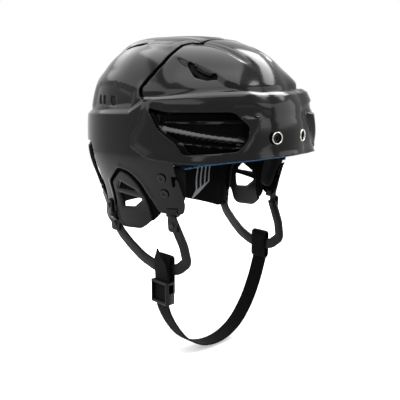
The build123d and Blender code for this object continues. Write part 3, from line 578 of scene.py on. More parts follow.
# The outline starts sharp: its first corner is doubled, and the six places of its curve are left out
LOBE_AND_LEG = rounded(ARM_FRONT[:1] + ARM_FRONT + LOBE_FRONT + LOBE_REAR + EAR_ARCH + REAR_LEG
                       + [(62, NAPE_EDGE_Z)], 5.0)[6:]
REAR_REGION = ([(-62, CEILING_Z), (-62, 49.5)] + LOBE_AND_LEG
               + [(160, NAPE_EDGE_Z), (160, CEILING_Z)])
LOUVRE_EDGE = rounded(LOUVRE, 4.0)
REAR_HOLES = [rounded(hole, 2.0) for hole in [CAGE_SLOT, CLIP_SLOT] + REAR_SLOTS]
SCREW_SEATS = [side_place(y, z, PANEL_STEP) for y, z in SCREW_PLACES]
VISOR_HOLE_SQUEEZE = 0.97
REAR_SEAM_FOOT = -62.0
FAR = 99.0


def fullness(x, y, z):
    """Extra growth at the front corners, where the shell is squarer in plan than an ellipse."""
    turn = np.degrees(np.arctan2((WIDEST_Y - y) * HALF_WIDTH / FRONT_REACH, np.abs(x) + 0.01))
    corner = smooth(turn, 22.0, 52.0) * (1 - smooth(turn, 62.0, 79.0))
    return FRONT_FULLNESS * corner * (1 - smooth(z, 60.0, 84.0))


def fuller(growth):
    """A growth with the front corners' fullness on it."""
    return lambda x, y, z: growth + fullness(x, y, z)


def fin(x, y, z):
    """Share of the raised fin round the louvre's front end, behind a slanting edge beside the visor hole."""
    edge = np.interp(z, [4.0, 37.0], [47.0, 30.0])
    across = smooth(np.abs(x) - edge, -0.6, 2.4)
    return across * (1 - smooth(z, 35.4, 37.2)) * smooth(z, 3.0, 5.0) * smooth(-y, 94.0, 112.0)


def crown_relief(x, y):
    """Relief of the front crown: a crease with a dished side for the vent, and a valley beside the spine."""
    crease_x, crease_y = zip(*CREASE)
    out = x - np.interp(y, crease_y, crease_x)
    along = smooth(-y, 30.0, 48.0) * (1 - smooth(-y, 92.0, 112.0))
    dish = smooth(out, -0.5, 1.8) * (1 - smooth(out, 5.0, 30.0)) * along
    valley = np.exp(-(line_distance(x, y, VALLEY) / VALLEY_HALF_WIDTH) ** 2)
    return -DISH_DEPTH * dish - VALLEY_DEPTH * valley * (1 - smooth(-y, 74.0, 100.0))


def brow_groove(x, y, z):
    """Share of the shallow groove that arches over the brow."""
    above = z - (33.4 - 0.0022 * x ** 2)
    return smooth(above, -0.8, 0.5) * (1 - smooth(above, 2.0, 16.0)) * smooth(-y, 108.0, 118.0)


def front_height(x, y, z):
    """Outside of the front shell: crown, ledge, band, wing, louvre lips, fin, brow groove and rim bead."""
    below = depth_below(y, z, FRONT_LEDGE)
    grow = np.interp(below, *zip(*FRONT_PROFILE))
    grow += crown_relief(x, y) * smooth(-below, 0.0, 5.0) + fullness(x, y, z)
    grow -= WING_DIP * (1 - smooth(line_distance(y, z, WING_EDGE), 0.0, 9.0)) * (below > 4)
    lip_reach = np.interp(y, [-122.0, -108.0], [8.0, 3.0])
    lip = 1 - smooth(outline_distance(y, z, LOUVRE_EDGE) / lip_reach, 0.0, 1.0)
    grow -= LOUVRE_LIP_DIP * lip * (x > 20) * (below > 4)
    grow += FIN_RISE * fin(x, y, z) - BROW_GROOVE_DIP * brow_groove(x, y, z)
    rim = 1 - smooth(z - height_of(BROW_EDGE, y), RIM_BEAD_WIDTH - 0.7, RIM_BEAD_WIDTH + 0.5)
    return grow + RIM_BEAD_RISE * rim * (y < -30)


def seam_y(x, z, foot):
    """The front shell's rear edge: curved in plan, with a step forward between the crown's lobes.

    Below the ledge it runs off to a foot, so that each shell's own outline takes over there.
    """
    side = np.interp(z, *zip((49.5, foot), *SEAM_SIDE))
    return np.where(z > SEAM_TOP_Z, np.interp(x, *zip(*SEAM_PLAN)), side)


def hole_in_plan(x, y, z, outline, above):
    """Signed distance from an outline seen in plan, which counts only above a height."""
    return np.where(z > above, outline_distance(x, y, outline), FAR)


def front_cut(x, y, z):
    """Signed distance from the front shell's outline and holes, above zero outside."""
    away = np.maximum(outline_distance(y, z, FRONT_REGION), y - seam_y(x, z, 20.0))
    away = np.maximum(away, -outline_distance(y, z, LOUVRE_EDGE))
    vent = hole_in_plan(x, y, z, FRONT_VENT_EDGE, 50)
    visor = np.where(y < -100, np.hypot((x - VISOR_X) / VISOR_HOLE_SQUEEZE, z - VISOR_Z), FAR)
    return np.maximum(away, np.maximum(-vent, GROMMET_RADIUS + 0.1 - visor))


def vent_wall_painted_shade(x, y, z, facing):
    """The cut faces all round the front vent, which get the matt black nylon as painted shade."""
    return (z > 50) & (facing < 0.6) & (np.abs(outline_distance(x, y, FRONT_VENT_EDGE)) < 4.0)


def ledge_breaks(line, profile, rows, start, last):
    """Breaks of a skin that give each corner of a ledge's profile a row of vertices."""
    breaks = [(ledge(line, depth), count) for (depth, _), count in zip(profile, rows)]
    return [(start, 0)] + breaks + [last]


def front_shell():
    breaks = ledge_breaks(FRONT_LEDGE, FRONT_PROFILE, (60, 3, 1, 1, 3), 8.0, (222.0, 42))
    # The front vent's walls get the matt black nylon as painted shade.
    skin("front_shell_piece", "front", SHELL, (-QUARTER, 0.02), breaks, 1.5, front_height,
         wall_under(front_height, SHELL_WALL), front_cut, ["front_shell"], deep=(PAINTED_SHADE_NYLON, vent_wall_painted_shade))


def rear_height(x, y, z):
    """Outside of the rear shell: ridges, recess of the slots, ledge, panel, margins of the lobe and arch."""
    below = depth_below(y, z, REAR_LEDGE)
    grow = np.interp(below, *zip(*REAR_PROFILE))
    side = smooth(-outline_distance(x, y, REAR_RIDGE), -4.0, 4.0)
    centre = smooth(-outline_distance(x, y, REAR_CENTRE_RIDGE), -4.0, 4.0)
    behind_seam = smooth(y - seam_y(x, z, REAR_SEAM_FOOT), 3.0, 14.0)
    grow += RIDGE_RISE * np.maximum(side, centre) * smooth(z, 66.0, 84.0) * behind_seam
    grow -= 2.0 * smooth(y, 10.0, 45.0) * smooth(z, 66.0, 82.0) * (1 - smooth(z, 98.0, 110.0))
    top = height_of(SLOT_RECESS_TOP, y)
    recess = (1 - smooth(z, top - 0.9, top + 0.6)) * smooth(-below, 1.5, 6.0)
    grow -= SLOT_RECESS_DEPTH * recess * smooth(y, -11.0, -3.0) * (1 - smooth(y, 60.0, 76.0))
    margin = line_distance(y, z, [(-69, 2)] + LOBE_FRONT)
    grow -= LOBE_MARGIN_DIP * (1 - smooth(margin, 7.0, 8.8)) * (z < 2)
    return grow + ARCH_BEAD_RISE * (1 - smooth(line_distance(y, z, EAR_ARCH), 1.2, 3.2))


def rear_cut(x, y, z):
    """Signed distance from the rear shell's outline and holes, above zero outside."""
    away = np.maximum(outline_distance(y, z, REAR_REGION), seam_y(x, z, REAR_SEAM_FOOT) + SEAM_GAP - y)
    for hole in REAR_HOLES:
        away = np.maximum(away, -np.where(x > 40, outline_distance(y, z, hole), FAR))
    away = np.maximum(away, -hole_in_plan(x, y, z, REAR_TOP_EDGE, 50))
    away = np.maximum(away, -np.where(y > 60, outline_distance(x, z, NAPE_VENT_EDGE), FAR))
    for seat in SCREW_SEATS:
        off = np.sqrt((x - seat.x) ** 2 + (y - seat.y) ** 2 + (z - seat.z) ** 2)
        away = np.maximum(away, SCREW_SEAT_RADIUS - off)
    return away


def rear_shell():
    breaks = ledge_breaks(REAR_LEDGE, REAR_PROFILE, (76, 2, 1, 4), 0.0, (242.0, 50))
    skin("rear_shell_piece", "rear", SHELL, (-QUARTER, QUARTER), breaks, 1.9, rear_height,
         wall_under(rear_height, SHELL_WALL), rear_cut, ["rear_shell"])


def tongue():
    """The rear shell's lip that slides under the front crown."""
    def height(x, y, z):
        return -(SHELL_WALL + SHELL_GAP) + np.minimum(0, crown_relief(x, y)) * 0.6

    def cut(x, y, z):
        front = np.interp(x, [34.0, 42.0], [-56.0, -41.6])
        return np.maximum(np.maximum(front - y, y - seam_y(x, z, -22.0) - 10.0), TONGUE_FOOT_Z - z)

    skin("rear_shell_tongue", "rear", SHELL, (-QUARTER, 0.02), [(8.0, 0), (140.0, 60)], 2.4, height,
         wall_under(height, 2.0), cut)


# Louvres and ear guards

SHELL_SEAT = SHELL_WALL + SEAT_GAP
INSERT_TOP = BAND_STEP - SHELL_SEAT
INSERT_DEPTH = 4.5
INSERT_FLOOR = INSERT_TOP - INSERT_DEPTH
INSERT_WALL = 1.4
INSERT_LAP = 1.8
BAR_RISE = 1.2
SLATS = {"rib": ((-46, 32), (-119, 34)), "slat": ((-42, 27), (-112, 16.6)),
         "lip": ((-64, 13.5), (-118, 8.8)), "bar": ((-109.5, 12), (-119.5, 34))}
GUARD_WALL = 2.3
GUARD_SINK = 1.6
GUARD_RISE = 1.8
WINDOW_DIP = 0.8
GUARD_BEAD_RISE = 0.6
WINDOW_EDGES = [rounded(window, 2.5) for window in GUARD_WINDOWS]


def slat_place(y, z, name):
    """Height above a slat's middle line, and whether the place lies along it."""
    (y0, z0), (y1, z1) = SLATS[name]
    length = sqrt((y1 - y0) ** 2 + (z1 - z0) ** 2)
    along = ((y - y0) * (y1 - y0) + (z - z0) * (z1 - z0)) / length
    above = ((y - y0) * (z1 - z0) - (z - z0) * (y1 - y0)) / length
    return above, smooth(along, -0.8, 0.8) * (1 - smooth(along, length - 0.8, length + 0.8))


def insert_relief(y, z):
    """Rise over the louvre piece's floor: a thin rib, a broad sloping slat, a lip and the front bar."""
    above, within = slat_place(y, z, "rib")
    rise = 0.8 * INSERT_DEPTH * within * (1 - smooth(np.abs(above), 0.5, 1.1))
    above, within = slat_place(y, z, "slat")
    slope = np.interp(above, [-3.1, -2.5, 3.2, 3.5], [0.0, 1.0, 0.2, 0.0])
    rise = np.maximum(rise, INSERT_DEPTH * slope * within)
    above, within = slat_place(y, z, "lip")
    rise = np.maximum(rise, INSERT_DEPTH * within * (1 - smooth(np.abs(above), 0.7, 1.4)))
    above, within = slat_place(y, z, "bar")
    slope = np.interp(above, [-3.6, -3.0, 3.0, 3.6], [0.0, 0.55, 1.0, 0.0])
    rise = np.maximum(rise, (INSERT_DEPTH + BAR_RISE) * slope * within)
    return np.where(outline_distance(y, z, LOUVRE_EDGE) > 0.2, INSERT_DEPTH - 0.1, rise)


def insert_height(x, y, z):
    """Outside of the louvre piece, which follows the fuller front of the shell."""
    return INSERT_FLOOR + insert_relief(y, z) + fullness(x, y, z)


def louvre_floor_painted_shade(x, y, z, facing):
    """Places between the slats, which get the matt black nylon as painted shade."""
    return insert_relief(y, z) < 0.3 * INSERT_DEPTH


def louvre(side, name):
    """The louvre piece behind a side opening, which laps under the opening's edge all round."""
    def cut(x, y, z):
        return np.where(x > 20, outline_distance(y, z, LOUVRE_EDGE) - INSERT_LAP, FAR)

    # The floor between the slats gets the matt black nylon as painted shade.
    skin(f"vent_insert_{name}_piece", "front", LOUVRE_PLASTIC, (-1.32, -0.33), [(135.0, 0), (212.0, 110)],
         0.75, insert_height, fuller(INSERT_FLOOR - INSERT_WALL), cut, [f"vent_insert_{name}"], edge=0.0,
         sides=(side,), deep=(PAINTED_SHADE_NYLON, louvre_floor_painted_shade))


def guard_panel(y, z):
    """Share of the guard's raised panel, which stands clear of the shell's arch by a gap whose flange is
    painted dark as shade.
    """
    return smooth(-outline_distance(y, z, GUARD_PANEL), -0.2, 1.6)


def guard_height(x, y, z):
    """Outside of the ear guard: its flange, the raised panel, sunk window margins and a bead at the rim."""
    grow = UNDER_PANEL - GUARD_SINK + (GUARD_SINK + GUARD_RISE) * guard_panel(y, z)
    for window in WINDOW_EDGES:
        grow -= WINDOW_DIP * (1 - smooth(outline_distance(y, z, window), 0.4, 2.2))
    rim = (1 - smooth(-outline_distance(y, z, GUARD_EDGE), 1.4, 2.6)) * (z < -44)
    return grow + GUARD_BEAD_RISE * rim


def guard_cut(x, y, z):
    away = outline_distance(y, z, GUARD_EDGE)
    for window in WINDOW_EDGES:
        away = np.maximum(away, -outline_distance(y, z, window))
    return away


def guard_gap_painted_shade(x, y, z, facing):
    """The flange round the raised panel, which gets the matt black nylon as painted shade."""
    return guard_panel(y, z) < 0.35


def ear_guard(side, name):
    # The flange in the gap round the raised panel gets the matt black nylon as painted shade.
    skin(f"ear_guard_{name}_piece", "rear", GUARD_PLASTIC, (-0.62, 0.2), [(165.0, 0), (257.0, 82)], 1.1,
         guard_height, wall_under(guard_height, GUARD_WALL), guard_cut, [f"ear_guard_{name}"], sides=(side,),
         deep=(PAINTED_SHADE_NYLON, guard_gap_painted_shade))


# Foam and pads

FRONT_FOAM_EDGE = [(-47, CEILING_Z), (-47, 17), (-57.5, 9), (-74, 9), (-74, -2), (-112, 1), (-160, 6.5),
                   (-160, CEILING_Z)]
REAR_FOAM_EDGE = [(-42.5, CEILING_Z), (-42.5, 6), (-66, 3), (-66, -8), (-20, -8), (20, -4), (62, 2),
                  (160, 2), (160, CEILING_Z)]
FOAM_INSIDE = -SHELL_SEAT - FOAM_WALL
FOAM_UNDER_LOUVRE = -2.4
FRONT_FOAM_UNDER_TONGUE = -7.0
REAR_FOAM_UNDER_TONGUE = -5.2
CHANNEL = 1.5

BROW_FOAM_EDGE = [(-160, 2.8), (-131, 0.5), (-112, -2), (-98, -4.3), (-84, -7), (-75, -9.4), (-67, -11),
                  (-66, -10)]
BROW_FOAM_REGION = BROW_FOAM_EDGE + [(-66, 1), (-112, 2), (-160, 8)]
BROW_FOAM_FACE = 3.4
BROW_FOAM_BACK = 1.6
BLUE_LINE = 1.2

NAPE_PANEL_EDGE = rounded([(33, 2), (33, -60), (31, -74), (37, -84), (78, -78.5), (96, -74), (160, -73),
                           (160, -44), (97, -40), (74, -29), (64, -13), (63, 2)], 6.0)
NAPE_PANEL_FACE = -13.0
NAPE_PANEL_BACK = -1.6
TAB_FACE = -9.0
TAB_BACK = -4.0
TAB_HALF_HEIGHT = 3.2
TAB_START_Y = 60.0
STRIPES = [[(51.5, -36), (50, -54.5), (68.5, -77)], [(56, -36), (54.8, -58.5), (68.5, -77)],
           [(60.5, -36), (59.6, -62.5), (68.5, -77)], [(65, -36), (64.2, -66.5), (68.5, -77)]]
STRIPE_HALF_WIDTH = 0.8

BROW_PAD_OUTLINE = [(-60, 7), (60, 7), (60, 33), (-60, 33)]
CROWN_PAD_OUTLINE = [(-35, -19.5), (35, -19.5), (35, 64.5), (-35, 64.5)]
NAPE_PAD_OUTLINE = [(66, -1.5), (160, -1.5), (160, -42), (98, -38), (76, -27), (66, -12)]
TEMPLE_PAD_OUTLINE = [(-62, -11), (-34, -11), (-36, -48), (-52, -48)]
LINER_FACE = FOAM_INSIDE - SEAT_GAP
NAPE_STRAP_WALL = 2.0
NAPE_FACE = UNDER_PANEL - NAPE_STRAP_WALL - SEAT_GAP
TEMPLE_FACE = -4.1
SEAM_HALF_WIDTH = 1.2


def front_foam():
    """The front liner in three blocks, lowered below the louvre piece, the crown's relief and the tongue."""
    def height(x, y, z):
        below = depth_below(y, z, FRONT_LEDGE)
        room = np.where(outline_distance(y, z, LOUVRE) < 4.0, FOAM_UNDER_LOUVRE, INSERT_TOP)
        grow = np.interp(below, [2.5, 4.0], [0.0, 1.0]) * (room + SHELL_SEAT) - SHELL_SEAT
        dished = np.minimum(0, crown_relief(x, y)) * (below < 0)
        under_tongue = (y > -60.0) & (x < 44.0) & (z > 80.0)
        return np.where(under_tongue, FRONT_FOAM_UNDER_TONGUE, grow + dished)

    def cut(x, y, z):
        away = np.maximum(outline_distance(y, z, FRONT_FOAM_EDGE), CHANNEL - np.abs(x - 32.0))
        return np.maximum(away, -hole_in_plan(x, y, z, FRONT_VENT_EDGE, 45))

    skin("front_liner_piece", "front", FOAM, (-QUARTER, -0.2), [(8.0, 0), (215.0, 80)], 2.6, height,
         flat(FOAM_INSIDE), cut, ["front_liner"], edge=1.2)


def rear_foam():
    """The rear liner in blocks, lowered where the tongue and the front shell's wing lie over it."""
    def height(x, y, z):
        grow = np.interp(depth_below(y, z, REAR_LEDGE), [2.5, 4.0], [-SHELL_SEAT, UNDER_PANEL])
        return np.where((y < -7.6) & (z > 40), REAR_FOAM_UNDER_TONGUE, grow)

    def cut(x, y, z):
        away = np.maximum(outline_distance(y, z, REAR_FOAM_EDGE), CHANNEL - np.abs(x - 30.0))
        away = np.maximum(away, np.where(x > 30, CHANNEL - np.abs(y - 34.0), -9.0))
        return np.maximum(away, -hole_in_plan(x, y, z, REAR_TOP_EDGE, 45))

    skin("rear_liner_piece", "rear", FOAM, (-0.95, QUARTER), [(0.0, 0), (222.0, 85)], 2.8, height,
         flat(FOAM_INSIDE), cut, ["rear_liner"], edge=1.2)


def brow_lining():
    """The blue edge of the forehead foam, which shows as a thin line below the brow's rim."""
    def is_black(x, y, z, facing):
        return (z > height_of(BROW_FOAM_EDGE, y) + BLUE_LINE) | (y > -70.0)

    skin("brow_lining", "front", BLUE_FOAM, (-QUARTER, -0.45), [(165.0, 0), (200.0, 30)], 1.6,
         fuller(BROW_FOAM_FACE), fuller(BROW_FOAM_BACK), side_cut(BROW_FOAM_REGION), edge=0.4,
         deep=(PANEL_FOAM, is_black))


def nape_panel():
    """The foam panel below the nape pad with its tab, and the grey stripes printed on its inside."""
    skin("nape_panel", "rear", PANEL_FOAM, (0.08, QUARTER), [(165.0, 0), (264.0, 50)], 2.0,
         flat(NAPE_PANEL_BACK), flat(NAPE_PANEL_FACE), side_cut(NAPE_PANEL_EDGE), edge=1.5)

    skin("nape_panel_tab", "rear", PANEL_FOAM, (0.3, QUARTER), [(160.0, 0), (195.0, 17)], 2.4,
         flat(TAB_BACK), flat(TAB_FACE),
         lambda x, y, z: np.maximum(np.abs(z) - TAB_HALF_HEIGHT, TAB_START_Y - y), edge=0.6)

    def ink(x, y, z):
        return np.min([line_distance(y, z, stripe) for stripe in STRIPES], axis=0) - STRIPE_HALF_WIDTH

    skin("nape_panel_stripes", "rear", STRIPE_INK, (0.3, 0.85), [(205.0, 0), (262.0, 114)], 0.5,
         flat(NAPE_PANEL_FACE - 0.05), flat(NAPE_PANEL_FACE - 0.25), ink, edge=0.0)


def pillow(depth, shoulder):
    """Share of a pad's full height at a depth inside its outline: a round shoulder and a flat middle."""
    share = np.clip(depth / shoulder, 0.0, 1.0)
    return np.sqrt(1 - (1 - share) ** 2)


def pad(name, body, outline, plane, turns, arcs, outer, wall,
        seams=(), sides=(1, -1), shoulder=7.0, limit=None):
    """A crowned pad: its back follows the foam, and its face swells between its rim and its seams."""
    edge = rounded(outline, 8.0)
    first, second = ("xyz".index(axis) for axis in plane)

    def depth(*place):
        away = -outline_distance(place[first], place[second], edge)
        return np.where(limit(*place), away, -9.0) if limit else away

    def face(*place):
        inside = depth(*place)
        for seam in seams:
            inside = np.minimum(inside, SEAM_HALF_WIDTH + line_distance(place[first], place[second], seam))
        return outer - wall * (0.3 + 0.7 * pillow(inside, shoulder))

    def back(*place):
        return outer - 0.12 * wall * (1 - pillow(depth(*place), shoulder / 2))

    cell = 1.5
    rows = int((arcs[1] - arcs[0]) / cell)
    made = skin(f"{name}_piece", body, KNIT, turns, [(arcs[0], 0), (arcs[1], rows)], cell, back, face,
                lambda *place: -depth(*place), [name], edge=0.8, sides=sides)


def pads():
    pad("brow_pad", "front", BROW_PAD_OUTLINE, "xz", (-QUARTER, -0.75), (130, 185), LINER_FACE, PAD_WALL,
        seams=[[(-1, 0), (-1, 40)], [(30, 0), (30, 40)]], limit=lambda x, y, z: y < -40)
    pad("crown_pad", "rear", CROWN_PAD_OUTLINE, "xy", (-QUARTER, QUARTER), (0, 90), LINER_FACE, PAD_WALL,
        seams=[[(0, -30), (0, 80)], [(-40, 22), (40, 22)]], limit=lambda x, y, z: z > 60)
    pad("nape_pad", "rear", NAPE_PAD_OUTLINE, "yz", (0.35, QUARTER), (165, 230), NAPE_FACE,
        FOAM_WALL + NAPE_FACE, seams=[[(60, -20), (170, -20)]], shoulder=9.0)
    for side, name in BOTH_SIDES:
        pad(f"temple_pad_{name}", "rear", TEMPLE_PAD_OUTLINE, "yz", (-0.85, -0.25), (170, 240),
            TEMPLE_FACE, PAD_WALL, sides=(side,))


# Visor grommets

# The profile closes the bore with a disc; the bore and the disc get black metal as painted shade.
GROMMET_PROFILE = [(0.1, -4), (4.3, -4), (4.5, -0.2), (4.7, 0.5), (5.1, 0.9), (5.4, 0.9), (5.8, 0.5),
                   (5.9, -0.2), (5.1, -0.4), (5.1, -4.6), (0.1, -4.6)]
BRIGHT_FROM_RISE = -0.45
BRIGHT_FROM_RADIUS = 4.45


def grommets():
    """Turned rings in the visor holes: nickel at the rim, with black metal as painted shade in the bore and
    on the disc that closes it.
    """
    width = HALF_WIDTH + BAND_STEP
    reach = width * FRONT_REACH / HALF_WIDTH
    y = WIDEST_Y - reach * sqrt(width_share(VISOR_Z, BAND_STEP) ** 2 - (VISOR_X / width) ** 2)
    up = Vector((0, 0, 1))
    for side, name in BOTH_SIDES:
        out = Vector((side * VISOR_X / width ** 2, (y - WIDEST_Y) / reach ** 2, 0)).normalized()
        seat = Vector((side * VISOR_X, y, VISOR_Z))
        bed = bmesh.new()
        points = [bed.verts.new((seat + up * radius + out * rise) * MM) for radius, rise in GROMMET_PROFILE]
        rim = [bed.edges.new(pair) for pair in zip(points, points[1:] + points[:1])]
        bmesh.ops.spin(bed, geom=points + rim, cent=seat * MM, axis=out, angle=2 * pi, steps=48,
                       use_merge=True)
        bmesh.ops.remove_doubles(bed, verts=bed.verts, dist=0.01 * MM)
        bmesh.ops.recalc_face_normals(bed, faces=bed.faces)
        slots = []
        for face in bed.faces:
            away = face.calc_center_median() / MM - seat
            rise = away.dot(out)
            bright = rise > BRIGHT_FROM_RISE and (away - out * rise).length > BRIGHT_FROM_RADIUS
            slots.append(0 if bright else 1)
        mesh = mesh_of(bed, f"visor_grommet_{name}")
        replaced = ["visor_grommets"] if side == 1 else ()
        finished(f"visor_grommet_{name}", mesh, "front", BRIGHT_METAL, replaced, 0.1)
        # The bore's faces get black metal, as painted shade.
        mesh.materials.append(BLACK_METAL)
        mesh.polygons.foreach_set("material_index", slots)


# Harness

NAPE_STRAP = rounded([(36, -63), (36, -55), (47, -54), (64, -44), (74, -24), (79, 11), (88, 11), (84, -24),
                      (73, -49), (52, -63)], 3.0)
NAPE_SNAP = (68, -45.5)
FREE_STRAP_RISE = 2.2
STRAP_BOTTOM = (71.5, -115.37)
STRAP_WIDTH = 11.0
WEBBING_Y = -31.0
WEBBING_WIDTH = 19.0
WEBBING_WALL = 1.6
WEBBING_STEP = 1.5
WEBBING_ROWS = 10
SELVEDGE_SHARE = 0.82
LOOP_INSIDE = 5.6
LOOP_PLAY = 5.6
LOOP_FOOT = 2.0
LOOP_TOP_DROP = 1.0
BUCKLE_Z = -139.5
TAIL_POINT = 15.4
WEBBING_ROUTE = [(-82, -93.5), (-79.5, -106), (-76.9, -120), (-76.9, -154), (-66, -176), (-49, -198),
                 (-24, -212), (4, -213.5), (30, -203), (50, -181), (63, -156)]
WEBBING_BENDS = [8.0, 8.0, 16.0] + [22.0] * 7


def nape_strap(side, name):
    """The moulded strap from the rear leg to the nape: thicker where it is free of the leg and its snap."""
    def face(x, y, z):
        leg_y, leg_z = zip(*REAR_LEG[1:])
        free = smooth(y - np.interp(z, leg_z, leg_y), 0.6, 2.2) * (1 - smooth(z, -1.0, 2.0))
        free *= smooth(np.hypot(y - NAPE_SNAP[0], z - NAPE_SNAP[1]), 4.6, 6.0)
        return UNDER_PANEL + FREE_STRAP_RISE * free

    skin(f"nape_strap_{name}_piece", "rear", STRAP_PLASTIC, (0.1, 0.95), [(160.0, 0), (246.0, 72)], 1.2,
         face, flat(UNDER_PANEL - NAPE_STRAP_WALL), side_cut(NAPE_STRAP), [f"nape_strap_{name}"],
         sides=(side,))


def smooth_route(points, reaches):
    """A route of (a, b) points with its corners rounded by the given reaches."""
    points = [Vector(p) for p in points]
    made = points[:1]
    for before, corner, after, longest in zip(points, points[1:], points[2:], reaches):
        reach = min(longest, 0.48 * (corner - before).length, 0.48 * (after - corner).length)
        start = corner + (before - corner).normalized() * reach
        end = corner + (after - corner).normalized() * reach
        made += [bend(start, corner, end, step / 8) for step in range(9)]
    return made + points[-1:]


def loop_route(x, low, high):
    """The middle line of a webbing loop between two end centres, once round."""
    radius = (LOOP_INSIDE + WEBBING_WALL) / 2
    turns = [pi * step / 12 for step in range(13)]
    top = [Vector((x + radius * cos(t), high + radius * sin(t))) for t in turns]
    foot = [Vector((x - radius * cos(t), low - radius * sin(t))) for t in turns]
    return top + foot + top[:1]


def ribbon(name, route, half_width=None, closed=False):
    """Webbing along a route of (x, z) points in the harness's plane, with UVs in metres for its weave."""
    xs, zs = zip(*route)
    lengths = np.concatenate([[0.0], np.cumsum(np.hypot(np.diff(xs), np.diff(zs)))])
    total = lengths[-1]

    def place(along):
        return np.array([np.interp(along, lengths, xs), np.interp(along, lengths, zs)])

    bed = bmesh.new()
    bmesh.ops.create_grid(bed, x_segments=max(8, int(total / WEBBING_STEP)), y_segments=WEBBING_ROWS, size=1,
                          calc_uvs=True)
    shift_x = bed.verts.layers.float.new("x")
    shift_z = bed.verts.layers.float.new("z")
    where = {}
    for v in bed.verts:
        along = (v.co.x + 1) / 2 * total
        side = v.co.y
        here = place(along)
        run = place(along + 0.8) - place(along - 0.8)
        run /= np.linalg.norm(run)
        half = half_width(along) if half_width else WEBBING_WIDTH / 2
        wall = WEBBING_WALL * (SELVEDGE_SHARE if abs(side) > 0.95 else 1.0)
        normal = np.array([-run[1], run[0]]) * wall / 2
        where[v] = (along * MM, side * half * MM)
        v.co = Vector((here[0] + normal[0], WEBBING_Y + side * half, here[1] + normal[1])) * MM
        v[shift_x] = -2 * normal[0]
        v[shift_z] = -2 * normal[1]
    uv = bed.loops.layers.uv.verify()
    for face in bed.faces:
        for loop in face.loops:
            loop[uv].uv = where[loop.vert]
    if closed:
        bmesh.ops.remove_doubles(bed, verts=bed.verts, dist=0.2 * MM)
    grown = bmesh.ops.extrude_face_region(bed, geom=bed.faces[:], use_keep_orig=True)
    for v in grown["geom"]:
        if isinstance(v, bmesh.types.BMVert):
            v.co += Vector((v[shift_x], 0, v[shift_z])) * MM
    bmesh.ops.recalc_face_normals(bed, faces=bed.faces)
    return finished(name, mesh_of(bed, name), "chin", WEBBING, edge=0.25)


def webbing():
    """The chin strap with its pointed tail, its loop on the left, and the short loop above the buckle."""
    x, z = STRAP_BOTTOM
    reach = STRAP_WIDTH / 2 + LOOP_PLAY
    top = z + reach - LOOP_TOP_DROP
    foot = z - reach - LOOP_FOOT
    end = (x, foot - LOOP_INSIDE / 2 - WEBBING_WALL / 2)
    run = ribbon("chin_webbing_run", smooth_route(WEBBING_ROUTE + [end], WEBBING_BENDS),
                 half_width=lambda along: max(0.4, WEBBING_WIDTH / 2 * min(1.0, along / TAIL_POINT)))
    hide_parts("chin_webbing")
    ribbon("chin_webbing_loop", loop_route(x, foot, top), closed=True)
    short = ribbon("buckle_loop_piece", loop_route(-x, BUCKLE_Z, top), closed=True)
    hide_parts("buckle_loop")


# All pieces

SOFTENED = [(STRAP_PLASTIC, 0.45, ("side_strap_right", "side_strap_left")),
            (CLIP_PLASTIC, 0.4, ("front_clip_right", "front_clip_left", "rear_clip_right", "rear_clip_left",
                                 "buckle")),
            (BLACK_METAL, 0.2, ("harness_rivets", "nape_snaps", "guard_screws")),
            (STEEL, 0.2, ("guard_nuts",)),
            # The visor nuts get black metal so that they stay dark inside the visor holes, as painted shade.
            (BLACK_METAL, 0.2, ("visor_nuts",))]

front_shell()
rear_shell()
tongue()
front_foam()
rear_foam()
brow_lining()
nape_panel()
grommets()
for side, name in BOTH_SIDES:
    louvre(side, name)
    ear_guard(side, name)
    nape_strap(side, name)
pads()
webbing()
for finish, width, names in SOFTENED:
    for node in names:
        softened(node, finish, width)


# Floor, light and camera

FLOOR_Z = -0.2165
FLOOR_LIFT = 0.45
FLOOR_REACH = 1.1
WORLD_FILL = 0.18
LAMPS = [("overhead", (-0.1, 0.1, 1.2), (2, 1.25), 31.0), ("crown", (0.86, -0.16, 0.9), (1.3, 0.34), 14.0),
         ("back", (-0.3, 1.25, 0.98), (2.4, 0.8), 11.5), ("side", (-1.1, 0.25, 0.62), (1, 0.4), 3.6),
         ("brow", (0.95, -1.1, 0.45), (1.2, 0.75), 7.4)]
CAMERA_TURN = radians(43.5)
CAMERA_RISE = radians(11.8)
CAMERA_DISTANCE = 721.0
CAMERA_TARGET = (0.0, -6.0, -60.0)
MM_PER_PIXEL = 1.09
PHOTO_PIXELS = 400
SENSOR_WIDTH = 36.0


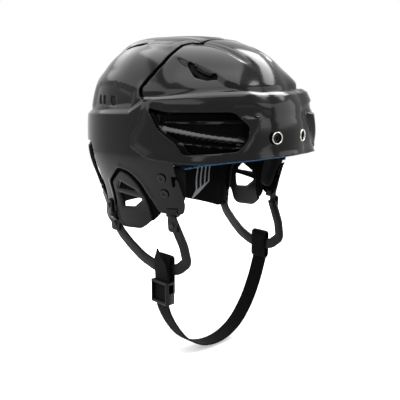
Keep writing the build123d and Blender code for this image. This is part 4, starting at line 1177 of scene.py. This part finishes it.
def pale_floor():
    """A pale painted floor. The camera sees it lifted towards the white of the backdrop."""
    bed = bmesh.new()
    bmesh.ops.create_grid(bed, x_segments=1, y_segments=1, size=FLOOR_REACH)
    floor = placed("floor", mesh_of(bed, "floor"))
    floor.location.z = FLOOR_Z
    paint, tree, shader = finish_of("floor paint", "f4f4f4", 0.9, Specular_IOR_Level=0.0,
                                    Emission_Color=linear("ffffff"))
    lift = add(tree, "ShaderNodeMapRange", {"To_Min": 0.0, "To_Max": FLOOR_LIFT},
               Value=add(tree, "ShaderNodeLightPath").outputs["Is Camera Ray"])
    tree.links.new(lift.outputs["Result"], shader.inputs["Emission Strength"])
    floor.data.materials.append(paint)


def white_world():
    """A world that is white where it is seen or reflected, and otherwise a weak fill light."""
    world = bpy.data.worlds.new("studio")
    bpy.context.scene.world = world
    world.use_nodes = True
    tree = world.node_tree
    background = tree.nodes["Background"]
    background.inputs["Color"].default_value = linear("ffffff")
    rays = add(tree, "ShaderNodeLightPath").outputs
    seen = rays["Is Camera Ray"]
    for ray in ("Is Glossy Ray", "Is Transmission Ray"):
        seen = add(tree, "ShaderNodeMath", {"operation": "MAXIMUM"}, i0=seen, i1=rays[ray]).outputs["Value"]
    level = add(tree, "ShaderNodeMapRange", {"To_Min": WORLD_FILL, "To_Max": 1.0}, Value=seen)
    tree.links.new(level.outputs["Result"], background.inputs["Strength"])


def lamps():
    """Five broad lamps turned to the scene's middle: overhead, left, behind, right and in front."""
    for name, place, size, power in LAMPS:
        data = bpy.data.lights.new(name, "AREA")
        data.shape = "RECTANGLE"
        data.size, data.size_y = size
        data.energy = power
        lamp = placed(name, data)
        lamp.location = place
        lamp.rotation_euler = (-Vector(place)).to_track_quat("-Z", "Y").to_euler()


def camera():
    """The photograph's view: from the wearer's front right, a little above."""
    level = cos(CAMERA_RISE)
    back = Vector((-sin(CAMERA_TURN) * level, -cos(CAMERA_TURN) * level, sin(CAMERA_RISE)))
    data = bpy.data.cameras.new("camera")
    data.sensor_width = SENSOR_WIDTH
    data.lens = SENSOR_WIDTH * CAMERA_DISTANCE / (MM_PER_PIXEL * PHOTO_PIXELS)
    view = placed("camera", data)
    view.location = (Vector(CAMERA_TARGET) + back * CAMERA_DISTANCE) * MM
    view.rotation_euler = (-back).to_track_quat("-Z", "Y").to_euler()
    bpy.context.scene.camera = view


pale_floor()
white_world()
lamps()
camera()
bpy.context.scene.view_settings.view_transform = "Standard"
